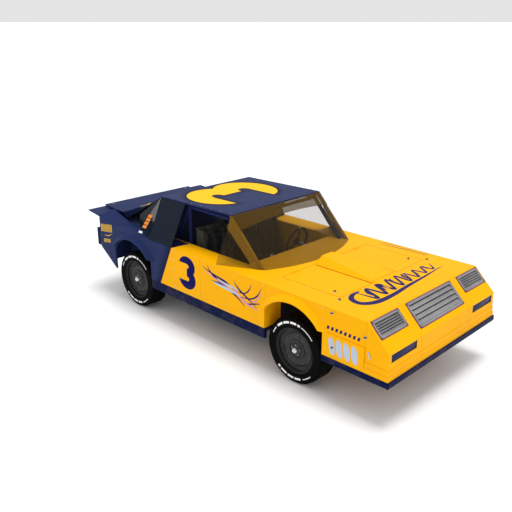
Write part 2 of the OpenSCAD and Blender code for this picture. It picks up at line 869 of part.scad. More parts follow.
module deck_lid() {
    color("darkslateblue") {
        both() hinge_moving(lid_hinge);
        slab([
            [lid_front_x - panel_gap, -lid_half + panel_gap, deck_h],
            [lid_front_x - panel_gap, lid_half - panel_gap, deck_h],
            [tail_x + 12, lid_half - panel_gap, deck_h + deck_rise],
            [tail_x + 12, -lid_half + panel_gap, deck_h + deck_rise]
        ], [0, 0, -14]);
    }
}

// ---- running gear ----

// Upright inside the rim: kingpin post, spindle and steering arm
module knuckle(s) {
    hub_y = wheel_y + tyre_w / 2 - dish;
    on_side(s) color("slategray") {
        translate([front_x, wheel_y, kingpin_low + run])
            cylinder(r = 22, h = 2 * ball_rise - 2 * run);
        translate([front_x, wheel_y, axle_h]) rotate([-90, 0, 0])
            cylinder(r = spindle_r, h = hub_y - wheel_y);
        bar([front_x, wheel_y, axle_h - 50], [front_x - 90, wheel_y - 140, axle_h - 50], 24);
    }
}
module knuckle_left() { knuckle(1); }
module knuckle_right() { knuckle(-1); }

module wheel_place(x, s) {
    translate([x, s * wheel_y, axle_h]) rotate([-90 * s, 0, 0]) children();
}

// Rounded section around the rim; the wheel's own Z points out of the car
module tyre(x, s) {
    half = tyre_w / 2;
    color("black")
        wheel_place(x, s)
            rotate_extrude($fn = 128) {
                translate([rim_r + run, -half]) square([core_r - rim_r - run, tyre_w]);
                translate([rim_r + run, -core_w]) square([tyre_r - rim_r - run, 2 * core_w]);
                for (z = [-core_w, core_w]) translate([core_r, z]) circle(r = tyre_round);
            }
}

// Barrel, dished disc with arc slots, and the hub cap
module wheel(x, s) {
    half = tyre_w / 2;
    face = half - dish;
    wall = 8;
    slot_r = rim_r * 0.70;
    color("gray")
        wheel_place(x, s) {
            difference() {
                union() {
                    rotate_extrude($fn = 128) polygon([
                        [rim_r - wall, -half + 6], [rim_r, -half + 6], [rim_r, half - 4],
                        [rim_r - wall, half - 4]
                    ]);
                    rotate_extrude($fn = 128) polygon([
                        [spindle_r + run, face - 12], [rim_r - 1, face - 12], [rim_r - 1, face],
                        [spindle_r + run, face]
                    ]);
                    rotate_extrude($fn = 128) polygon([
                        [spindle_r + run, face - 30], [70, face - 30], [58, face + 6],
                        [spindle_r + run, face + 6]
                    ]);
                }
                for (a = [0:90:270])
                    rotate([0, 0, a]) translate([0, 0, face - 20])
                        rotate_extrude(angle = 46, $fn = 128) translate([slot_r, 0]) square([16, 40]);
            }
            translate([0, 0, face + 5]) cylinder(r1 = cap_r + 4, r2 = cap_r, h = 22);
            translate([0, 0, face + 26]) intersection() {
                sphere(r = cap_r);
                cylinder(r = cap_r + 1, h = cap_r);
            }
        }
}
module tyre_front_left() { tyre(front_x, 1); }
module tyre_front_right() { tyre(front_x, -1); }
module tyre_rear_left() { tyre(rear_x, 1); }
module tyre_rear_right() { tyre(rear_x, -1); }
module wheel_front_left() { wheel(front_x, 1); }
module wheel_front_right() { wheel(front_x, -1); }
module wheel_rear_left() { wheel(rear_x, 1); }
module wheel_rear_right() { wheel(rear_x, -1); }

frame_rails();
floor_pan();
firewall();
rear_bulkhead();
roll_cage();
roof();
cowl_panel();
dashboard();
windshield();
a_pillars();
deflector_windows();
quarter_windows();
sail_panels();
rear_window();
door_left();
door_right();
inner_panels();
fender_left();
fender_right();
quarter_left();
quarter_right();
side_skirts();
nose_cover();
front_bumper();
grilles();
front_valance();
tail_panel();
rear_bumper();
engine_block();
fuel_cell();
seat_left();
seat_right();
seat_pad_left();
seat_pad_right();
steering_column();
front_arms();
rear_axle();
hood();
deck_lid();
knuckle_left();
knuckle_right();
tyre_front_left();
tyre_front_right();
tyre_rear_left();
tyre_rear_right();
wheel_front_left();
wheel_front_right();
wheel_rear_left();
wheel_rear_right();
steering_wheel();
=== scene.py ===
import math

import bmesh
import bpy
from mathutils import Matrix, Vector


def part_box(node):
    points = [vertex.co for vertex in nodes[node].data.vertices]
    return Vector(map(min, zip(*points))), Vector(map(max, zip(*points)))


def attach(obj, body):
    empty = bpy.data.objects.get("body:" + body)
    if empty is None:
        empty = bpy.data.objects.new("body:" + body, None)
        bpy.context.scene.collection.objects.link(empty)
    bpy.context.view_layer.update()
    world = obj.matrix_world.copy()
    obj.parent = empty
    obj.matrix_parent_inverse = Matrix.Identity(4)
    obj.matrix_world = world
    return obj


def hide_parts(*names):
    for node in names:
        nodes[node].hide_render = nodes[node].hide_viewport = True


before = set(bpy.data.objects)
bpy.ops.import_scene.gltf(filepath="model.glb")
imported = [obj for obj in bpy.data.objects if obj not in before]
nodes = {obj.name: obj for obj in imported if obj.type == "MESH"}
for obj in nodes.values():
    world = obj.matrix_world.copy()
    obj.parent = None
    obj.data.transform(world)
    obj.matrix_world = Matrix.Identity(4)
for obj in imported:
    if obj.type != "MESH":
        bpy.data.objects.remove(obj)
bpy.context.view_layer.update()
scene = bpy.context.scene
print("frame loaded:", len(nodes), "nodes")


def middle(name):
    low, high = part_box(name)
    return (low + high) / 2


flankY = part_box("door_left")[1].y
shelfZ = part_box("door_left")[1].z
roofLow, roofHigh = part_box("roof")
hoodLow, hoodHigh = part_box("hood")
frontAxle = middle("tyre_front_left")
rearAxle = middle("tyre_rear_left")
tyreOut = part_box("tyre_front_left")[1].y


stageLook = {"lens": 45.28, "floorSize": 3000.0, "worldStrength": 0.78, "sunStrength": 1.55}


def makeStage():
    camera = bpy.data.objects.new("camera", bpy.data.cameras.new("camera"))
    scene.collection.objects.link(camera)
    camera.data.lens = stageLook["lens"]
    camera.data.clip_end = 10000
    camera.location = (4.827, -5.037, 3.307)
    camera.rotation_mode = "QUATERNION"
    camera.rotation_quaternion = Vector((-0.6645, 0.6645, -0.3420)).to_track_quat("-Z", "Y")
    scene.camera = camera

    half = stageLook["floorSize"]
    mesh = bpy.data.meshes.new("floor")
    mesh.from_pydata([(-half, -half, -0.001), (half, -half, -0.001),
                      (half, half, -0.001), (-half, half, -0.001)], [], [(0, 1, 2, 3)])
    floor = bpy.data.objects.new("floor", mesh)
    scene.collection.objects.link(floor)

    world = bpy.data.worlds.new("studio")
    scene.world = world
    world.use_nodes = True
    sky = world.node_tree.nodes["Background"]
    sky.inputs["Color"].default_value = (1, 1, 1, 1)
    sky.inputs["Strength"].default_value = stageLook["worldStrength"]

    # each row: direction it shines from, strength, width of the sun in degrees
    for name, fromWhere, strength, width in (
            ("keyLight", (0.06, 0.06, 1.0), stageLook["sunStrength"], 24),
            ("fillLight", (0.4, -0.9, 0.35), 0.06, 40)):
        light = bpy.data.objects.new(name, bpy.data.lights.new(name, "SUN"))
        scene.collection.objects.link(light)
        light.data.energy = strength
        light.data.angle = math.radians(width)
        light.rotation_mode = "QUATERNION"
        light.rotation_quaternion = (-Vector(fromWhere)).to_track_quat("-Z", "Y")
    scene.view_settings.view_transform = "Standard"
    return floor


floor = makeStage()


class Wire:  # one socket of a shader tree; sums and products on it add Math nodes
    def __init__(self, paint, socket):
        self.paint = paint
        self.socket = socket

    def math(self, operation, *others):
        values = dict(enumerate((self,) + others))
        return self.paint.node("ShaderNodeMath", {"operation": operation}, values)

    def __add__(self, other):
        return self.math("ADD", other)

    def __sub__(self, other):
        return self.math("SUBTRACT", other)

    def __rsub__(self, other):
        return self.paint.node("ShaderNodeMath", {"operation": "SUBTRACT"}, {0: other, 1: self})

    def __mul__(self, other):
        return self.math("MULTIPLY", other)

    def __truediv__(self, other):
        return self.math("DIVIDE", other)

    def __neg__(self):
        return self.math("MULTIPLY", -1.0)

    def __abs__(self):
        return self.math("ABSOLUTE")

    def __pow__(self, other):
        return self.math("POWER", other)

    __radd__ = __add__
    __rmul__ = __mul__

    def least(self, other):
        return self.math("MINIMUM", other)

    def most(self, other):
        return self.math("MAXIMUM", other)

    def above(self, limit):
        return self.math("GREATER_THAN", limit)

    def ramp(self, low, high):  # 0 below low, 1 above high, smooth between
        return self.paint.node("ShaderNodeMapRange", {"interpolation_type": "SMOOTHSTEP"},
                               {"Value": self, "From Min": low, "From Max": high})


def linear(red, green, blue):  # colour picker values 0-255 to the renderer's own
    def one(c):
        c = c / 255
        return c / 12.92 if c <= 0.04045 else ((c + 0.055) / 1.055) ** 2.4
    return (one(red), one(green), one(blue), 1)


class Paint:  # a material with one Principled shader; fixed values go straight on its sockets
    def __init__(self, name, fixed):
        self.material = bpy.data.materials.new(name)
        self.material.use_nodes = True
        self.tree = self.material.node_tree
        self.tree.nodes.clear()
        self.shader = self.tree.nodes.new("ShaderNodeBsdfPrincipled")
        surface = self.tree.nodes.new("ShaderNodeOutputMaterial")
        self.tree.links.new(self.shader.outputs[0], surface.inputs["Surface"])
        for socket, value in fixed.items():
            self.shader.inputs[socket].default_value = value
        self.at = self.node("ShaderNodeTexCoord", {}, {}, "Object")
        parts = [self.node("ShaderNodeSeparateXYZ", {}, {"Vector": self.at}, k) for k in range(3)]
        self.x, self.y, self.z = parts

    def node(self, kind, settings, sockets, output=0):
        made = self.tree.nodes.new(kind)
        for name, value in settings.items():
            if name == "stops":
                ramp = made.color_ramp
                while len(ramp.elements) < len(value):
                    ramp.elements.new(1.0)
                for element, (place, colour) in zip(ramp.elements, value):
                    element.position = place
                    element.color = colour
            else:
                setattr(made, name, value)
        for name, value in sockets.items():
            if isinstance(value, Wire):
                self.tree.links.new(value.socket, made.inputs[name])
            else:
                made.inputs[name].default_value = value
        return Wire(self, made.outputs[output])

    def feed(self, name, wire):
        self.tree.links.new(wire.socket, self.shader.inputs[name])

    def stretched(self, scale):
        return self.node("ShaderNodeVectorMath", {"operation": "MULTIPLY"}, {0: self.at, 1: scale})

    def noise(self, scale, detail=2.0, stretch=None):
        where = self.stretched(stretch) if stretch else self.at
        return self.node("ShaderNodeTexNoise", {},
                         {"Vector": where, "Scale": scale, "Detail": detail}, "Fac")

    def mix(self, factor, first, second):
        return self.node("ShaderNodeMix", {"data_type": "RGBA"},
                         {0: factor, 6: first, 7: second}, 2)

    def bump(self, height, strength, distance):
        self.feed("Normal", self.node("ShaderNodeBump", {}, {
            "Strength": strength, "Distance": distance, "Height": height}, "Normal"))


paintCoat = {"Coat Weight": 0.01, "Coat Roughness": 0.2, "Specular IOR Level": 0.04}
bodyPaint = {
    "yellow": linear(252, 180, 4),
    "blue": linear(34, 46, 88),
    "navy": linear(16, 22, 66),
    "trim": linear(2, 16, 60),
    "decalNavy": linear(2, 2, 84),
    "numberYellow": linear(255, 196, 0),
    "seamDepth": 0.55,
    "gloss": 0.36,
}


def seam(value, place, half=0.0022):  # 1 on a thin line across the given axis
    return 1 - abs(value - place).ramp(half * 0.6, half)


def threeShape(u, v):  # distance to a plain round numeral 3, one unit tall, less than 0 inside it
    bowls = (
        (0.190, 0.180, 0.120, 0.07),
        (-0.190, 0.190, 0.126, -0.06),
    )
    nearest = None
    for height, radius, half, cutEnd in bowls:
        du = u * 0.84
        dv = v - height
        ring = abs((du * du + dv * dv) ** 0.5 - radius) - half
        # the side where the bowl is open
        if cutEnd > 0:
            openSide = (-0.015 - du).least(cutEnd - dv)
        else:
            openSide = (-0.015 - du).least(dv - cutEnd)
        bowl = ring.most(openSide)
        nearest = bowl if nearest is None else nearest.least(bowl)
    return nearest


def innerPaint():  # yellow where it lines the cabin, bare and dark below the sill
    paint = Paint("innerPaint", paintCoat)
    finishPaint(paint, paint.mix(paint.z.ramp(0.42, 0.43), linear(30, 34, 44), bodyPaint["yellow"]))
    return paint.material


def finishPaint(paint, colour, grime=True):
    cloud = paint.noise(2.2, 3.0)
    speck = paint.noise(60.0, 2.0)
    colour = paint.mix((cloud.ramp(0.35, 0.75)) * 0.16, colour, paint.node(
        "ShaderNodeMix", {"data_type": "RGBA", "blend_type": "MULTIPLY"},
        {0: 1.0, 6: colour, 7: (0.80, 0.80, 0.82, 1)}, 2))
    if grime:
        low = (1 - paint.z.ramp(0.36, 0.72)) * paint.noise(9.0, 4.0).ramp(0.42, 0.72)
        colour = paint.mix(low * 0.14, colour, linear(120, 104, 84))
    paint.feed("Base Color", colour)
    paint.feed("Roughness", bodyPaint["gloss"] + speck * 0.10 + cloud * 0.06)
    paint.bump(paint.noise(420.0, 1.0) * 0.4 + paint.noise(5.0, 1.0), 0.08, 0.004)


def flatPaint(name, colour, seams=()):
    paint = Paint(name, paintCoat)
    base = paint.mix(0.0, colour, colour)
    for axis, place in seams:
        line = seam({"x": paint.x, "y": abs(paint.y), "z": paint.z}[axis], place)
        base = paint.mix(line * bodyPaint["seamDepth"], base, tuple(0.45 * c for c in colour[:3]) + (1,))
    finishPaint(paint, base)
    return paint.material


def doorPaint():
    paint = Paint("doorPaint", paintCoat)
    side = paint.y.above(0) * -2 + 1
    u = (paint.x + 0.34) * side / 0.385
    v = (paint.z - 0.728) / 0.385
    mask = 1 - threeShape(u, v).ramp(-0.012, 0.004)
    onFlank = abs(paint.y).above(flankY - 0.004)
    base = paint.mix(mask * onFlank, bodyPaint["yellow"], bodyPaint["decalNavy"])
    line = seam(paint.x, -0.119) * onFlank
    base = paint.mix(line * bodyPaint["seamDepth"], base, linear(170, 112, 8))
    finishPaint(paint, base)
    return paint.material


def quarterPaint():  # yellow ahead of a slanting edge, blue with a darker border behind it
    paint = Paint("quarterPaint", paintCoat)
    edge = -0.604 + (paint.z - shelfZ) * 0.472 + (flankY - abs(paint.y)) * 0.136
    ahead = paint.x - edge
    border = ahead.ramp(-0.16, -0.005)
    base = paint.mix(border, bodyPaint["blue"], bodyPaint["navy"])
    base = paint.mix(ahead.ramp(-0.002, 0.002), base, bodyPaint["yellow"])
    finishPaint(paint, base)
    return paint.material


def roofPaint():
    paint = Paint("roofPaint", paintCoat)
    u = (paint.x + 0.56) * (-1 / 1.12)
    v = (paint.y + 0.05) * (-1 / 1.12)
    gap = threeShape(u, v)
    onTop = paint.z.above(roofHigh.z - 0.0245)
    halo = (1 - gap.ramp(0.0, 0.075)) * onTop
    base = paint.mix(halo, bodyPaint["blue"], linear(10, 0, 44))
    base = paint.mix((1 - gap.ramp(-0.006, 0.002)) * onTop, base, bodyPaint["numberYellow"])
    finishPaint(paint, base, grime=False)
    return paint.material


def metalPaint(name, colour, metallic, rough, grain=(1, 1, 1), scale=80.0, bump=0.15):
    paint = Paint(name, {"Metallic": metallic})
    blotch = paint.noise(6.0, 4.0)
    fine = paint.noise(scale, 3.0, grain)
    darker = tuple(0.62 * c for c in colour[:3]) + (1,)
    paint.feed("Base Color", paint.mix(blotch.ramp(0.35, 0.7) * 0.6, colour, darker))
    paint.feed("Roughness", rough + fine * 0.18 + blotch * 0.08)
    paint.bump(fine, bump, 0.0015)
    return paint.material


def glassPaint(name, colour, cover, band=False):
    paint = Paint(name, {"Roughness": 0.06, "Specular IOR Level": 0.10})
    smear = paint.noise(3.0, 3.0)
    shade = paint.mix(smear * 0.4, colour, tuple(0.7 * c for c in colour[:3]) + (1,))
    alpha = cover + smear * 0.04
    if band:  # darker band along the roof, its lower edge an arc
        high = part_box("windshield")[1]
        arc = high.z - 0.085 + (paint.y * paint.y) * -0.10
        top = (paint.z - arc).ramp(-0.004, 0.004)
        alpha = alpha + top * 0.40
        shade = paint.mix(top, shade, linear(84, 62, 20))
    paint.feed("Base Color", shade)
    paint.feed("Alpha", alpha)
    return paint.material


def deflectorPaint():  # thin tint with a wide strip behind the pillar; the left one is dark
    paint = Paint("deflectorGlass", {"Roughness": 0.06, "Specular IOR Level": 0.10})
    low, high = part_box("a_pillars")
    run = Vector((low.x - high.x, 0, high.z - low.z)).normalized()
    behind = (paint.x - high.x) * (-run.z) - (paint.z - low.z) * (-run.x)
    strip = 1 - behind.ramp(0.058, 0.061)
    left = paint.y.above(0)
    smear = paint.noise(3.0, 3.0)
    shade = paint.mix(strip, linear(60, 50, 32), linear(128, 94, 28))
    paint.feed("Base Color", paint.mix(left, shade, linear(10, 14, 34)))
    paint.feed("Alpha", (0.20 + smear * 0.04 + strip * 0.38).most(left * 0.9))
    return paint.material


def rubberPaint():
    paint = Paint("tyreRubber", {"Specular IOR Level": 0.05})
    spread = paint.noise(40.0, 4.0)
    out = abs(paint.y).ramp(tyreOut - 0.03, tyreOut - 0.008)
    worn = paint.noise(12.0, 5.0, (1, 6, 1)).ramp(0.4, 0.75)
    base = paint.mix(spread * 0.5, linear(2, 2, 2), linear(11, 11, 10))
    base = paint.mix((1 - out) * worn * 0.4, base, linear(46, 43, 40))
    paint.feed("Base Color", base)
    paint.feed("Roughness", 0.62 + spread * 0.25)
    paint.bump(paint.noise(260.0, 3.0) + paint.noise(30.0, 2.0) * 0.6, 0.25, 0.0015)
    return paint.material


def wheelPaint():
    paint = Paint("wheelPaint", {"Specular IOR Level": 0.15})
    beside = abs(paint.x - frontAxle.x).least(abs(paint.x - rearAxle.x))
    up = paint.z - frontAxle.z
    radius = (beside * beside + up * up) ** 0.5
    cap = (1 - radius.ramp(0.037, 0.039)) * abs(paint.y).above(tyreOut - 0.043)
    worn = paint.noise(30.0, 4.0)
    base = paint.mix(worn.ramp(0.3, 0.8), linear(48, 48, 48), linear(70, 70, 70))
    base = paint.mix(radius.ramp(0.205, 0.222) * 0.55, base, linear(24, 24, 25))
    paint.feed("Base Color", paint.mix(cap, base, linear(206, 206, 208)))
    paint.feed("Metallic", cap * 0.95)
    paint.feed("Roughness", 0.5 + worn * 0.15 - cap * 0.36)
    paint.bump(paint.noise(300.0, 2.0), 0.08, 0.001)
    return paint.material


def weavePaint(name, dark, light, rough):
    paint = Paint(name, {"Sheen Weight": 0.25, "Sheen Roughness": 0.5})
    pitch = 2 * math.pi / 0.0032
    warp = (paint.y * pitch).math("SINE")
    weft = ((paint.x + paint.z) * pitch).math("SINE")
    cloth = warp * weft
    dust = paint.noise(14.0, 4.0)
    base = paint.mix(cloth.ramp(-0.5, 0.6), dark, light)
    paint.feed("Base Color", paint.mix(dust.ramp(0.45, 0.8) * 0.3, base, linear(70, 68, 62)))
    paint.feed("Roughness", rough + dust * 0.08)
    paint.bump(cloth + dust * 0.5, 0.5, 0.0006)
    return paint.material


def plasticPaint(name, colour, rough, lift=0.1):
    paint = Paint(name, {"Specular IOR Level": 0.12})
    speck = paint.noise(700.0, 2.0)
    cloud = paint.noise(5.0, 3.0)
    lighter = tuple(min(1, c * 1.5 + 0.01) for c in colour[:3]) + (1,)
    paint.feed("Base Color", paint.mix(cloud * 0.4 + speck * 0.1, colour, lighter))
    paint.feed("Roughness", rough + cloud * 0.1)
    paint.bump(speck, lift, 0.0006)
    return paint.material


floorPaint = Paint("floorPaint", {"Roughness": 0.9})
floorPaint.feed("Base Color", floorPaint.mix(
    floorPaint.noise(0.6) * 0.2, (0.99, 0.99, 0.99, 1), (0.96, 0.96, 0.96, 1)))
floor.data.materials.append(floorPaint.material)

yellow = flatPaint("yellowPaint", bodyPaint["yellow"])
fenderYellow = flatPaint("fenderPaint", bodyPaint["yellow"], (("x", 0.84), ("y", flankY - 0.236)))
noseYellow = flatPaint("nosePaint", bodyPaint["yellow"], (("x", 2.04), ("y", 0.43)))
blue = flatPaint("bluePaint", bodyPaint["blue"])
trim = flatPaint("trimPaint", bodyPaint["trim"], (("x", 1.9), ("x", -0.119)))
finishes = {
    "yellow": yellow, "fender": fenderYellow, "nose": noseYellow, "blue": blue, "trim": trim,
    # the pillars are body yellow painted darker: painted shade for the pillar seen in shadow through the
    # tinted glass
    "pillar": flatPaint("pillarShadedYellow", linear(158, 116, 28)), "inner": innerPaint(),
    "door": doorPaint(), "quarter": quarterPaint(), "roof": roofPaint(),
    "chassis": metalPaint("chassisPaint", linear(58, 60, 64), 0.2, 0.5),
    "cage": flatPaint("cagePaint", linear(28, 36, 84)),
    "panel": metalPaint("panelAlloy", linear(52, 56, 66), 0.5, 0.42, (1, 8, 1)),
    "shelf": flatPaint("shelfPaint", linear(62, 72, 104)),
    "amber": glassPaint("amberGlass", linear(62, 52, 34), 0.26, band=True),
    "amberSide": deflectorPaint(),
    "smoke": glassPaint("smokeGlass", linear(24, 33, 48), 0.80),
    "sail": glassPaint("sailGlass", linear(24, 34, 40), 0.80),
    "grille": metalPaint("grilleMetal", linear(150, 148, 150), 0.35, 0.38, (1, 20, 1)),
    "iron": metalPaint("engineIron", linear(66, 66, 68), 0.6, 0.5),
    "bright": metalPaint("brightAlloy", linear(196, 198, 202), 1.0, 0.22, (1, 14, 1)),
    "shell": plasticPaint("seatShell", linear(64, 66, 60), 0.5),
    "black": plasticPaint("blackPlastic", linear(18, 18, 20), 0.45),
    "cloth": weavePaint("seatCloth", linear(10, 10, 12), linear(30, 30, 34), 0.85),
    "rubber": rubberPaint(), "wheel": wheelPaint(),
    "grip": plasticPaint("wheelGrip", linear(14, 18, 60), 0.6, 0.3),
    "lamp": plasticPaint("lampRecess", linear(8, 24, 74), 0.2),
    "navyVinyl": plasticPaint("navyVinyl", bodyPaint["decalNavy"], 0.35),
    "lilacVinyl": plasticPaint("lilacVinyl", linear(186, 128, 190), 0.35),
    "greyVinyl": plasticPaint("greyVinyl", linear(172, 186, 206), 0.35),
    "yellowVinyl": plasticPaint("yellowVinyl", linear(214, 168, 34), 0.35),
    "orangeVinyl": plasticPaint("orangeVinyl", linear(226, 128, 48), 0.35),
    "whiteVinyl": plasticPaint("whiteVinyl", linear(236, 236, 236), 0.5),
    # crease line: a red-brown stroke standing for painted shade along the hood's scoop crease
    "creaseShadeLine": plasticPaint("creaseShadePaint", linear(168, 36, 4), 0.6),
    "frameEdge": plasticPaint("frameEdge", linear(88, 26, 92), 0.5),
    "hose": plasticPaint("hoseRubber", linear(20, 20, 21), 0.7, 0.3),
    "redCover": flatPaint("coverPaint", linear(150, 26, 18)),
}

nodeFinish = {
    "frame_rails": "chassis", "floor_pan": "panel", "firewall": "panel", "rear_bulkhead": "shelf",
    "roll_cage": "cage", "roof": "roof", "cowl_panel": "yellow", "dashboard": "black",
    "windshield": "amber", "a_pillars": "pillar", "deflector_windows": "amberSide",
    "quarter_windows": "smoke", "sail_panels": "sail", "rear_window": "smoke",
    "door_left": "door", "door_right": "door", "inner_panels": "inner", "fender_left": "fender",
    "fender_right": "fender", "quarter_left": "quarter", "quarter_right": "quarter",
    "side_skirts": "trim", "nose_cover": "nose", "front_bumper": "nose", "grilles": "grille",
    "front_valance": "trim", "tail_panel": "blue", "rear_bumper": "trim", "seat_left": "shell",
    "seat_right": "shell", "steering_column": "bright", "front_arms": "chassis",
    "rear_axle": "chassis", "hood": "yellow", "deck_lid": "blue", "knuckle_left": "iron",
    "knuckle_right": "iron", "tyre_front_left": "rubber", "tyre_front_right": "rubber",
    "tyre_rear_left": "rubber", "tyre_rear_right": "rubber", "wheel_front_left": "wheel",
    "wheel_front_right": "wheel", "wheel_rear_left": "wheel", "wheel_rear_right": "wheel",
    "steering_wheel": "grip", "engine_block": "iron", "fuel_cell": "black",
    "seat_pad_left": "cloth", "seat_pad_right": "cloth",
}
for name, obj in nodes.items():
    obj.data.materials.clear()
    obj.data.materials.append(finishes[nodeFinish[name]])
print("finishes made:", len(finishes))


class Shape:  # gathers closed forms into one mesh, each with its own finish
    def __init__(self):
        self.verts, self.faces, self.picks, self.smooth, self.used = [], [], [], [], []

    def add(self, work, finish, place=None, smooth=True):
        if place is not None:
            work.transform(place)
        bmesh.ops.recalc_face_normals(work, faces=work.faces)
        work.verts.index_update()
        if finish not in self.used:
            self.used.append(finish)
        start = len(self.verts)
        self.verts += [tuple(v.co) for v in work.verts]
        for face in work.faces:
            self.faces.append([start + v.index for v in face.verts])
            self.picks.append(self.used.index(finish))
            self.smooth.append(smooth)
        work.free()

    def box(self, low, high, finish, bevel=0.003, place=None):
        work = bmesh.new()
        low, high = Vector(low), Vector(high)
        bmesh.ops.create_cube(work, size=1)
        bmesh.ops.scale(work, vec=high - low, verts=work.verts)
        bmesh.ops.translate(work, vec=(low + high) / 2, verts=work.verts)
        if bevel:
            bmesh.ops.bevel(work, geom=list(work.edges), offset=bevel, segments=2,
                            profile=0.5, affect="EDGES")
        self.add(work, finish, place)

    def lathe(self, outline, place, finish, steps=32, ring=False):
        # outline rows: radius, height; with ring the outline closes on itself
        work = bmesh.new()
        rings = []
        for radius, height in outline:
            if radius < 1e-6:
                rings.append([work.verts.new((0, 0, height))])
            else:
                rings.append([work.verts.new((radius * math.cos(a), radius * math.sin(a), height))
                              for a in (2 * math.pi * k / steps for k in range(steps))])
        pairs = list(zip(rings, rings[1:] + rings[:1])) if ring else list(zip(rings, rings[1:]))
        for lower, upper in pairs:
            for k in range(steps):
                j = (k + 1) % steps
                corners = [lower[k % len(lower)], lower[j % len(lower)],
                           upper[j % len(upper)], upper[k % len(upper)]]
                corners = list(dict.fromkeys(corners))
                if len(corners) > 2:
                    work.faces.new(corners)
        self.add(work, finish, place)

    def tube(self, points, radius, finish, sides=10, closed=False, smoothing=6):
        path = smoothPath(points, smoothing, closed) if smoothing else [Vector(p) for p in points]
        work = bmesh.new()
        rings = []
        count = len(path)
        normal = None
        for k, point in enumerate(path):
            after = path[(k + 1) % count] if closed or k < count - 1 else point
            before = path[k - 1] if closed or k else point
            along = (after - before).normalized()
            if normal is None:
                normal = along.orthogonal().normalized()
            normal = (normal - along * normal.dot(along)).normalized()
            side = along.cross(normal)
            rings.append([work.verts.new(point + (normal * math.cos(a) + side * math.sin(a)) * radius)
                          for a in (2 * math.pi * j / sides for j in range(sides))])
        for k in range(count if closed else count - 1):
            lower, upper = rings[k], rings[(k + 1) % count]
            for j in range(sides):
                i = (j + 1) % sides
                work.faces.new((lower[j], lower[i], upper[i], upper[j]))
        if not closed:
            work.faces.new(rings[0])
            work.faces.new(rings[-1])
        self.add(work, finish)

    def plate(self, outline, thick, finish, place):
        # a flat outline in X and Y, given thickness and put in place
        work = bmesh.new()
        bottom = [work.verts.new((p[0], p[1], 0)) for p in outline]
        top = [work.verts.new((p[0], p[1], thick)) for p in outline]
        work.faces.new(bottom)
        work.faces.new(top)
        count = len(outline)
        for k in range(count):
            j = (k + 1) % count
            work.faces.new((bottom[k], bottom[j], top[j], top[k]))
        bmesh.ops.triangulate(work, faces=[f for f in work.faces if len(f.verts) > 4])
        self.add(work, finish, place, smooth=False)

    def stroke(self, points, widths, thick, finish, place, smoothing=8):
        # a tapering brush stroke laid on a surface
        path = smoothPath([(p[0], p[1], 0) for p in points], smoothing, False)
        count = len(path)
        left, right = [], []
        for k, point in enumerate(path):
            spot = k / (count - 1) * (len(widths) - 1)
            low = min(int(spot), len(widths) - 2)
            half = (widths[low] + (widths[low + 1] - widths[low]) * (spot - low)) / 2
            along = (path[min(k + 1, count - 1)] - path[max(k - 1, 0)]).normalized()
            across = Vector((-along.y, along.x, 0)) * max(half, 0.0004)
            left.append(point + across)
            right.append(point - across)
        work = bmesh.new()
        rows = [[work.verts.new(p) for p in left], [work.verts.new(p) for p in right],
                [work.verts.new(p + Vector((0, 0, thick))) for p in right],
                [work.verts.new(p + Vector((0, 0, thick))) for p in left]]
        for first, second in zip(rows, rows[1:] + rows[:1]):
            for k in range(count - 1):
                work.faces.new((first[k], first[k + 1], second[k + 1], second[k]))
        for k in (0, count - 1):
            work.faces.new([row[k] for row in rows])
        self.add(work, finish, place, smooth=False)

    def finish(self, name, body, slot=None, angle=35):
        mesh = bpy.data.meshes.new(name)
        mesh.from_pydata(self.verts, [], self.faces)
        for finish in self.used:
            mesh.materials.append(finishes[finish])
        mesh.polygons.foreach_set("material_index", self.picks)
        mesh.polygons.foreach_set("use_smooth", self.smooth)
        mesh.update()
        mesh.set_sharp_from_angle(angle=math.radians(angle))
        obj = bpy.data.objects.new(name, mesh)
        scene.collection.objects.link(obj)
        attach(obj, body)
        return obj


def smoothPath(points, steps, closed):
    points = [Vector(p) for p in points]
    count = len(points)
    path = []
    spans = count if closed else count - 1
    for k in range(spans):
        if closed:
            a, b, c, d = (points[(k + i) % count] for i in (-1, 0, 1, 2))
        else:
            a, b, c, d = (points[min(max(k + i, 0), count - 1)] for i in (-1, 0, 1, 2))
        for s in range(steps):
            t = s / steps
            path.append(0.5 * (2 * b + (c - a) * t + (2 * a - 5 * b + 4 * c - d) * t * t
                               + (3 * b - a - 3 * c + d) * t ** 3))
    if not closed:
        path.append(points[-1])
    return path


def facing(origin, right, up):  # places a flat drawing: its X runs right, its Y up, its Z outwards
    right, up = Vector(right).normalized(), Vector(up).normalized()
    out = right.cross(up)
    return Matrix.Translation(Vector(origin)) @ Matrix((right, up, out)).transposed().to_4x4()


def standing(origin, axis):  # places a turned form with its Z along the axis
    return Matrix.Translation(Vector(origin)) @ Vector(axis).to_track_quat("Z", "Y").to_matrix().to_4x4()


def nodeTree(name, inputs):
    tree = bpy.data.node_groups.new(name, "GeometryNodeTree")
    tree.interface.new_socket("Geometry", in_out="INPUT", socket_type="NodeSocketGeometry")
    tree.interface.new_socket("Geometry", in_out="OUTPUT", socket_type="NodeSocketGeometry")
    for label, value in inputs.items():
        kind = "NodeSocketInt" if isinstance(value, int) else "NodeSocketFloat"
        tree.interface.new_socket(label, in_out="INPUT", socket_type=kind).default_value = value
    source = tree.nodes.new("NodeGroupInput")
    drain = tree.nodes.new("NodeGroupOutput")
    return tree, source, drain


def runTree(tree, mesh, name, values, body):
    # bakes the tree on the mesh to a plain object
    work = bpy.data.objects.new(name + "Seed", mesh)
    scene.collection.objects.link(work)
    modifier = work.modifiers.new("nodes", "NODES")
    modifier.node_group = tree
    for item in tree.interface.items_tree:
        if item.in_out == "INPUT" and item.name in values:
            modifier[item.identifier] = values[item.name]
    bpy.context.view_layer.update()
    ready = work.evaluated_get(bpy.context.evaluated_depsgraph_get())
    plain = bpy.data.meshes.new_from_object(ready)
    plain.name = name
    bpy.data.objects.remove(work)
    obj = bpy.data.objects.new(name, plain)
    scene.collection.objects.link(obj)
    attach(obj, body)
    return obj


